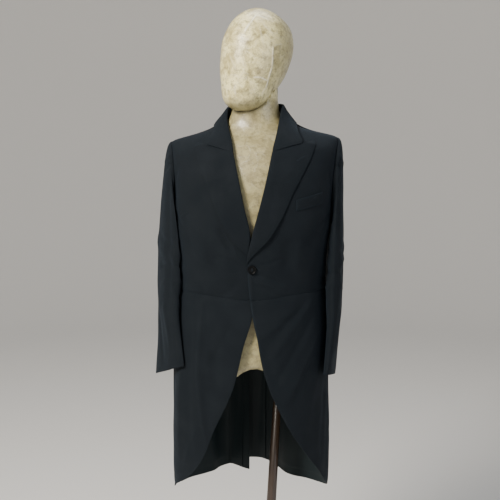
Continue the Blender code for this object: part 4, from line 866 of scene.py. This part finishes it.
def hornButton(name, node):
    # A dished button with a raised rim and four holes, sewn on with two bars of thread. It is made flat, then laid
    # on its CAD button.
    at = points(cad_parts[node].data)
    centre = at.mean(axis=0)
    axis = Vector(np.linalg.svd(at - centre)[2][2])
    if np.dot(axis, outwards(centre[None])[0]) < 0:
        axis = -axis
    along = (at - centre) @ np.array(axis)
    across = np.linalg.norm(at - centre - np.outer(along, axis), axis=1)
    radius, height = across.max(), along.max() - along.min()
    turn = axis.to_track_quat("Z", "Y").to_matrix().to_4x4()
    turn.translation = Vector(centre) + axis * along.min()
    segments = buttonShape["segments"]
    dish = height * buttonShape["dish"]
    hollow = radius * buttonShape["hollow"]
    holes = [(radius * buttonShape["holePlace"] * i, radius * buttonShape["holePlace"] * j)
             for i, j in ((1, 1), (-1, 1), (-1, -1), (1, -1))]

    bm = bmesh.new()
    for level in (dish, 0.0):                        # front and back plates round the four holes
        edges = roundOn(bm, hollow, level, segments=segments)
        for hole in holes:
            edges += roundOn(bm, radius * buttonShape["hole"], level, hole)
        bmesh.ops.triangle_fill(bm, use_beauty=True, use_dissolve=False, edges=edges)
    holeEdges = [e for e in bm.edges if e.is_boundary and max(v.co.xy.length for v in e.verts) < hollow * 0.98]
    for hole in holes:
        loops = [e for e in holeEdges if all((v.co.xy - Vector(hole)).length < radius * 0.12 for v in e.verts)]
        bmesh.ops.bridge_loops(bm, edges=loops)
    out, up = buttonShape["slope"]
    outline = [(hollow, dish), (radius * out, dish * up)]
    outline += [(radius * out, height * up) for out, up in buttonShape["outline"]] + [(hollow, 0.0)]
    profile = [bm.verts.new((r, 0.0, z)) for r, z in outline]
    lines = [bm.edges.new(pair) for pair in zip(profile, profile[1:])]
    bmesh.ops.spin(bm, geom=profile + lines, cent=(0, 0, 0), axis=(0, 0, 1), angle=2 * math.pi, steps=segments,
                   use_merge=True)
    bmesh.ops.remove_doubles(bm, verts=bm.verts, dist=1e-5)
    bmesh.ops.recalc_face_normals(bm, faces=bm.faces)
    bmesh.ops.transform(bm, matrix=turn, verts=bm.verts)
    button = finished(bm, name, hornDisc)
    button.data.set_sharp_from_angle(angle=math.radians(40))

    bm = bmesh.new()
    strand, apart = buttonThread["strand"], buttonThread["apart"]
    reach = radius * buttonShape["holePlace"]
    start = dish * buttonThread["start"]
    for side in (-1, 1):
        for shift in (-apart, 0.0, apart):           # three strands in each bar, from hole to hole
            ring = bmesh.ops.create_circle(bm, radius=strand, segments=8)["verts"]
            bmesh.ops.translate(bm, vec=(-reach, side * reach + shift * strand, start), verts=ring)
            bmesh.ops.spin(bm, geom=ring + ringEdges(bm, ring), cent=(0, side * reach, start), axis=(0, 1, 0),
                           angle=math.pi, steps=10)
    bmesh.ops.scale(bm, vec=(1, 1, buttonThread["pressed"]), verts=bm.verts,
                    space=Matrix.Translation((0, 0, -dish * buttonThread["about"])))
    bmesh.ops.translate(bm, vec=(0, 0, height * buttonThread["lift"]), verts=bm.verts)
    bmesh.ops.holes_fill(bm, edges=bm.edges, sides=8)
    bmesh.ops.recalc_face_normals(bm, faces=bm.faces)
    bmesh.ops.transform(bm, matrix=turn, verts=bm.verts)
    for piece in (button, finished(bm, name + "Thread", silkThread)):
        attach(piece, "root")
    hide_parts(node)


hornButton("frontButton", "front_button")
hornButton("leftBackButton", "back_button_l")
hornButton("rightBackButton", "back_button_r")

# Each hole's ends are given across and up in metres, and each stitch's sizes in metres too
buttonholes = {
    "frontButtonhole": {"on": "leftForepart", "from": (-0.0035, 1.0985), "to": (0.0205, 1.0990)},
    "lapelButtonhole": {"on": "leftLapel", "from": (0.1110, 1.3545), "to": (0.1285, 1.3645)},
}
stitch = {"length": 0.0016, "width": 0.00055, "spacing": 0.00052, "height": 0.0004, "slit": 0.0003}


def buttonhole(name, settings):
    # A worked hole: stitches packed side by side along both lips of the slit and fanned round its ends.
    cloth = seenBy(pieces[settings["on"]])
    start, end = Vector(settings["from"]), Vector(settings["to"])
    run = end - start
    aside = Vector((-run.y, run.x)).normalized()
    lip = stitch["slit"] + stitch["length"] / 2
    places = []
    count = int(run.length / stitch["spacing"])
    for i in range(count + 1):
        for side in (-1, 1):
            places.append((start + run * i / count + aside * lip * side, aside * side))
    for middle, away in ((start, -run.normalized()), (end, run.normalized())):
        for i in range(1, 8):
            turn = math.pi * (i / 8 - 0.5)
            spoke = away * math.cos(turn) + aside * math.sin(turn)
            places.append((middle + spoke * lip, spoke))
    bm = bmesh.new()
    for place, spoke in places:
        base, normal, _, _ = cloth.ray_cast(Vector((place.x, -1.0, place.y)), Vector((0.0, 1.0, 0.0)))
        if base is None:
            continue
        bead = bmesh.ops.create_icosphere(bm, subdivisions=1, radius=0.5)["verts"]
        bmesh.ops.scale(bm, vec=(stitch["length"], stitch["width"], stitch["height"]), verts=bead)
        long = Vector((spoke.x, 0.0, spoke.y))
        long = (long - normal * long.dot(normal)).normalized()
        facing = Matrix((long, normal.cross(long), normal)).transposed().to_4x4()
        facing.translation = base + normal * stitch["height"] * 0.25
        bmesh.ops.transform(bm, matrix=facing, verts=bead)
    obj = finished(bm, name, silkThread)
    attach(obj, "root")


for name, settings in buttonholes.items():
    buttonhole(name, settings)
print("buttons and buttonholes made")

# Sizes in metres, powers in watts
studio = {
    "floor": 6.5, "wall": 4.2, "curve": 2.4, "paper": "#e6e4e0", "tooth": "#e2e0dc",
    "world": "#dfe3e8", "worldStrength": 0.34, "aim": (0.0, 0.0, 1.15),
    "key": {"at": (-1.85, -2.20, 3.15), "size": 1.2, "power": 235.0, "tint": "#fff8ee"},
    "fill": {"at": (2.6, -2.2, 1.6), "size": 2.2, "power": 32.0, "tint": "#eef3ff"},
    "top": {"at": (0.2, 0.6, 3.4), "size": 1.6, "power": 30.0, "tint": "#ffffff"},
}


def studioSweep():
    # A round floor that curves up into a low wall all the way round.
    bm = bmesh.new()
    profile = [bm.verts.new((0.0, 0.0, 0.0)), bm.verts.new((studio["floor"], 0.0, 0.0)),
               bm.verts.new((studio["floor"], 0.0, studio["wall"]))]
    for pair in zip(profile, profile[1:]):
        bm.edges.new(pair)
    bmesh.ops.bevel(bm, geom=[profile[1]], offset=studio["curve"], offset_type="OFFSET", affect="VERTICES",
                    segments=16, profile=0.5, material=-1)
    bmesh.ops.spin(bm, geom=bm.verts[:] + bm.edges[:], cent=(0, 0, 0), axis=(0, 0, 1), angle=2 * math.pi,
                   steps=72, use_merge=True)
    bmesh.ops.remove_doubles(bm, verts=bm.verts, dist=1e-4)
    bmesh.ops.recalc_face_normals(bm, faces=bm.faces)
    if sum(face.normal.z * face.calc_area() for face in bm.faces) < 0:
        bmesh.ops.reverse_faces(bm, faces=bm.faces)
    # Matt background paper: pale and even, with only a fine tooth.
    material, shader = newMaterial("matt background paper", Roughness=0.9)
    place = addNode(material, "TexCoord").outputs["Object"]
    tooth = addNode(material, "TexNoise", {"Vector": place, "Scale": 300.0, "Detail": 2.0})
    tone = addNode(material, "Mix", {0: tooth.outputs[0], 6: colour(studio["paper"]),
                                     7: colour(studio["tooth"])}, data_type="RGBA")
    feed(material, shader, Base_Color=tone.outputs[2])
    sweep = finished(bm, "studioSweep", material)


def areaLight(name, settings):
    light = bpy.data.lights.new(name, "AREA")
    light.shape = "DISK"
    light.size = settings["size"]
    light.energy = settings["power"]
    light.color = colour(settings["tint"])[:3]
    obj = bpy.data.objects.new(name, light)
    bpy.context.scene.collection.objects.link(obj)
    obj.location = settings["at"]
    obj.rotation_euler = (Vector(studio["aim"]) - obj.location).to_track_quat("-Z", "Y").to_euler()


studioSweep()
for name in ("key", "fill", "top"):
    areaLight(name + "Light", studio[name])
world = bpy.data.worlds.new("studio world")
world.use_nodes = True
world.node_tree.nodes["Background"].inputs[0].default_value = colour(studio["world"])
world.node_tree.nodes["Background"].inputs[1].default_value = studio["worldStrength"]
bpy.context.scene.world = world

cameraPlace = {"at": (0.0, -2.3, 1.45), "pitch": -8.0, "lens": 66.9}
cameraData = bpy.data.cameras.new("photo camera")
cameraData.lens = cameraPlace["lens"]
camera = bpy.data.objects.new("photoCamera", cameraData)
bpy.context.scene.collection.objects.link(camera)
camera.location = cameraPlace["at"]
camera.rotation_euler = (math.radians(90.0 + cameraPlace["pitch"]), 0.0, 0.0)
bpy.context.scene.camera = camera
print("studio and camera set")
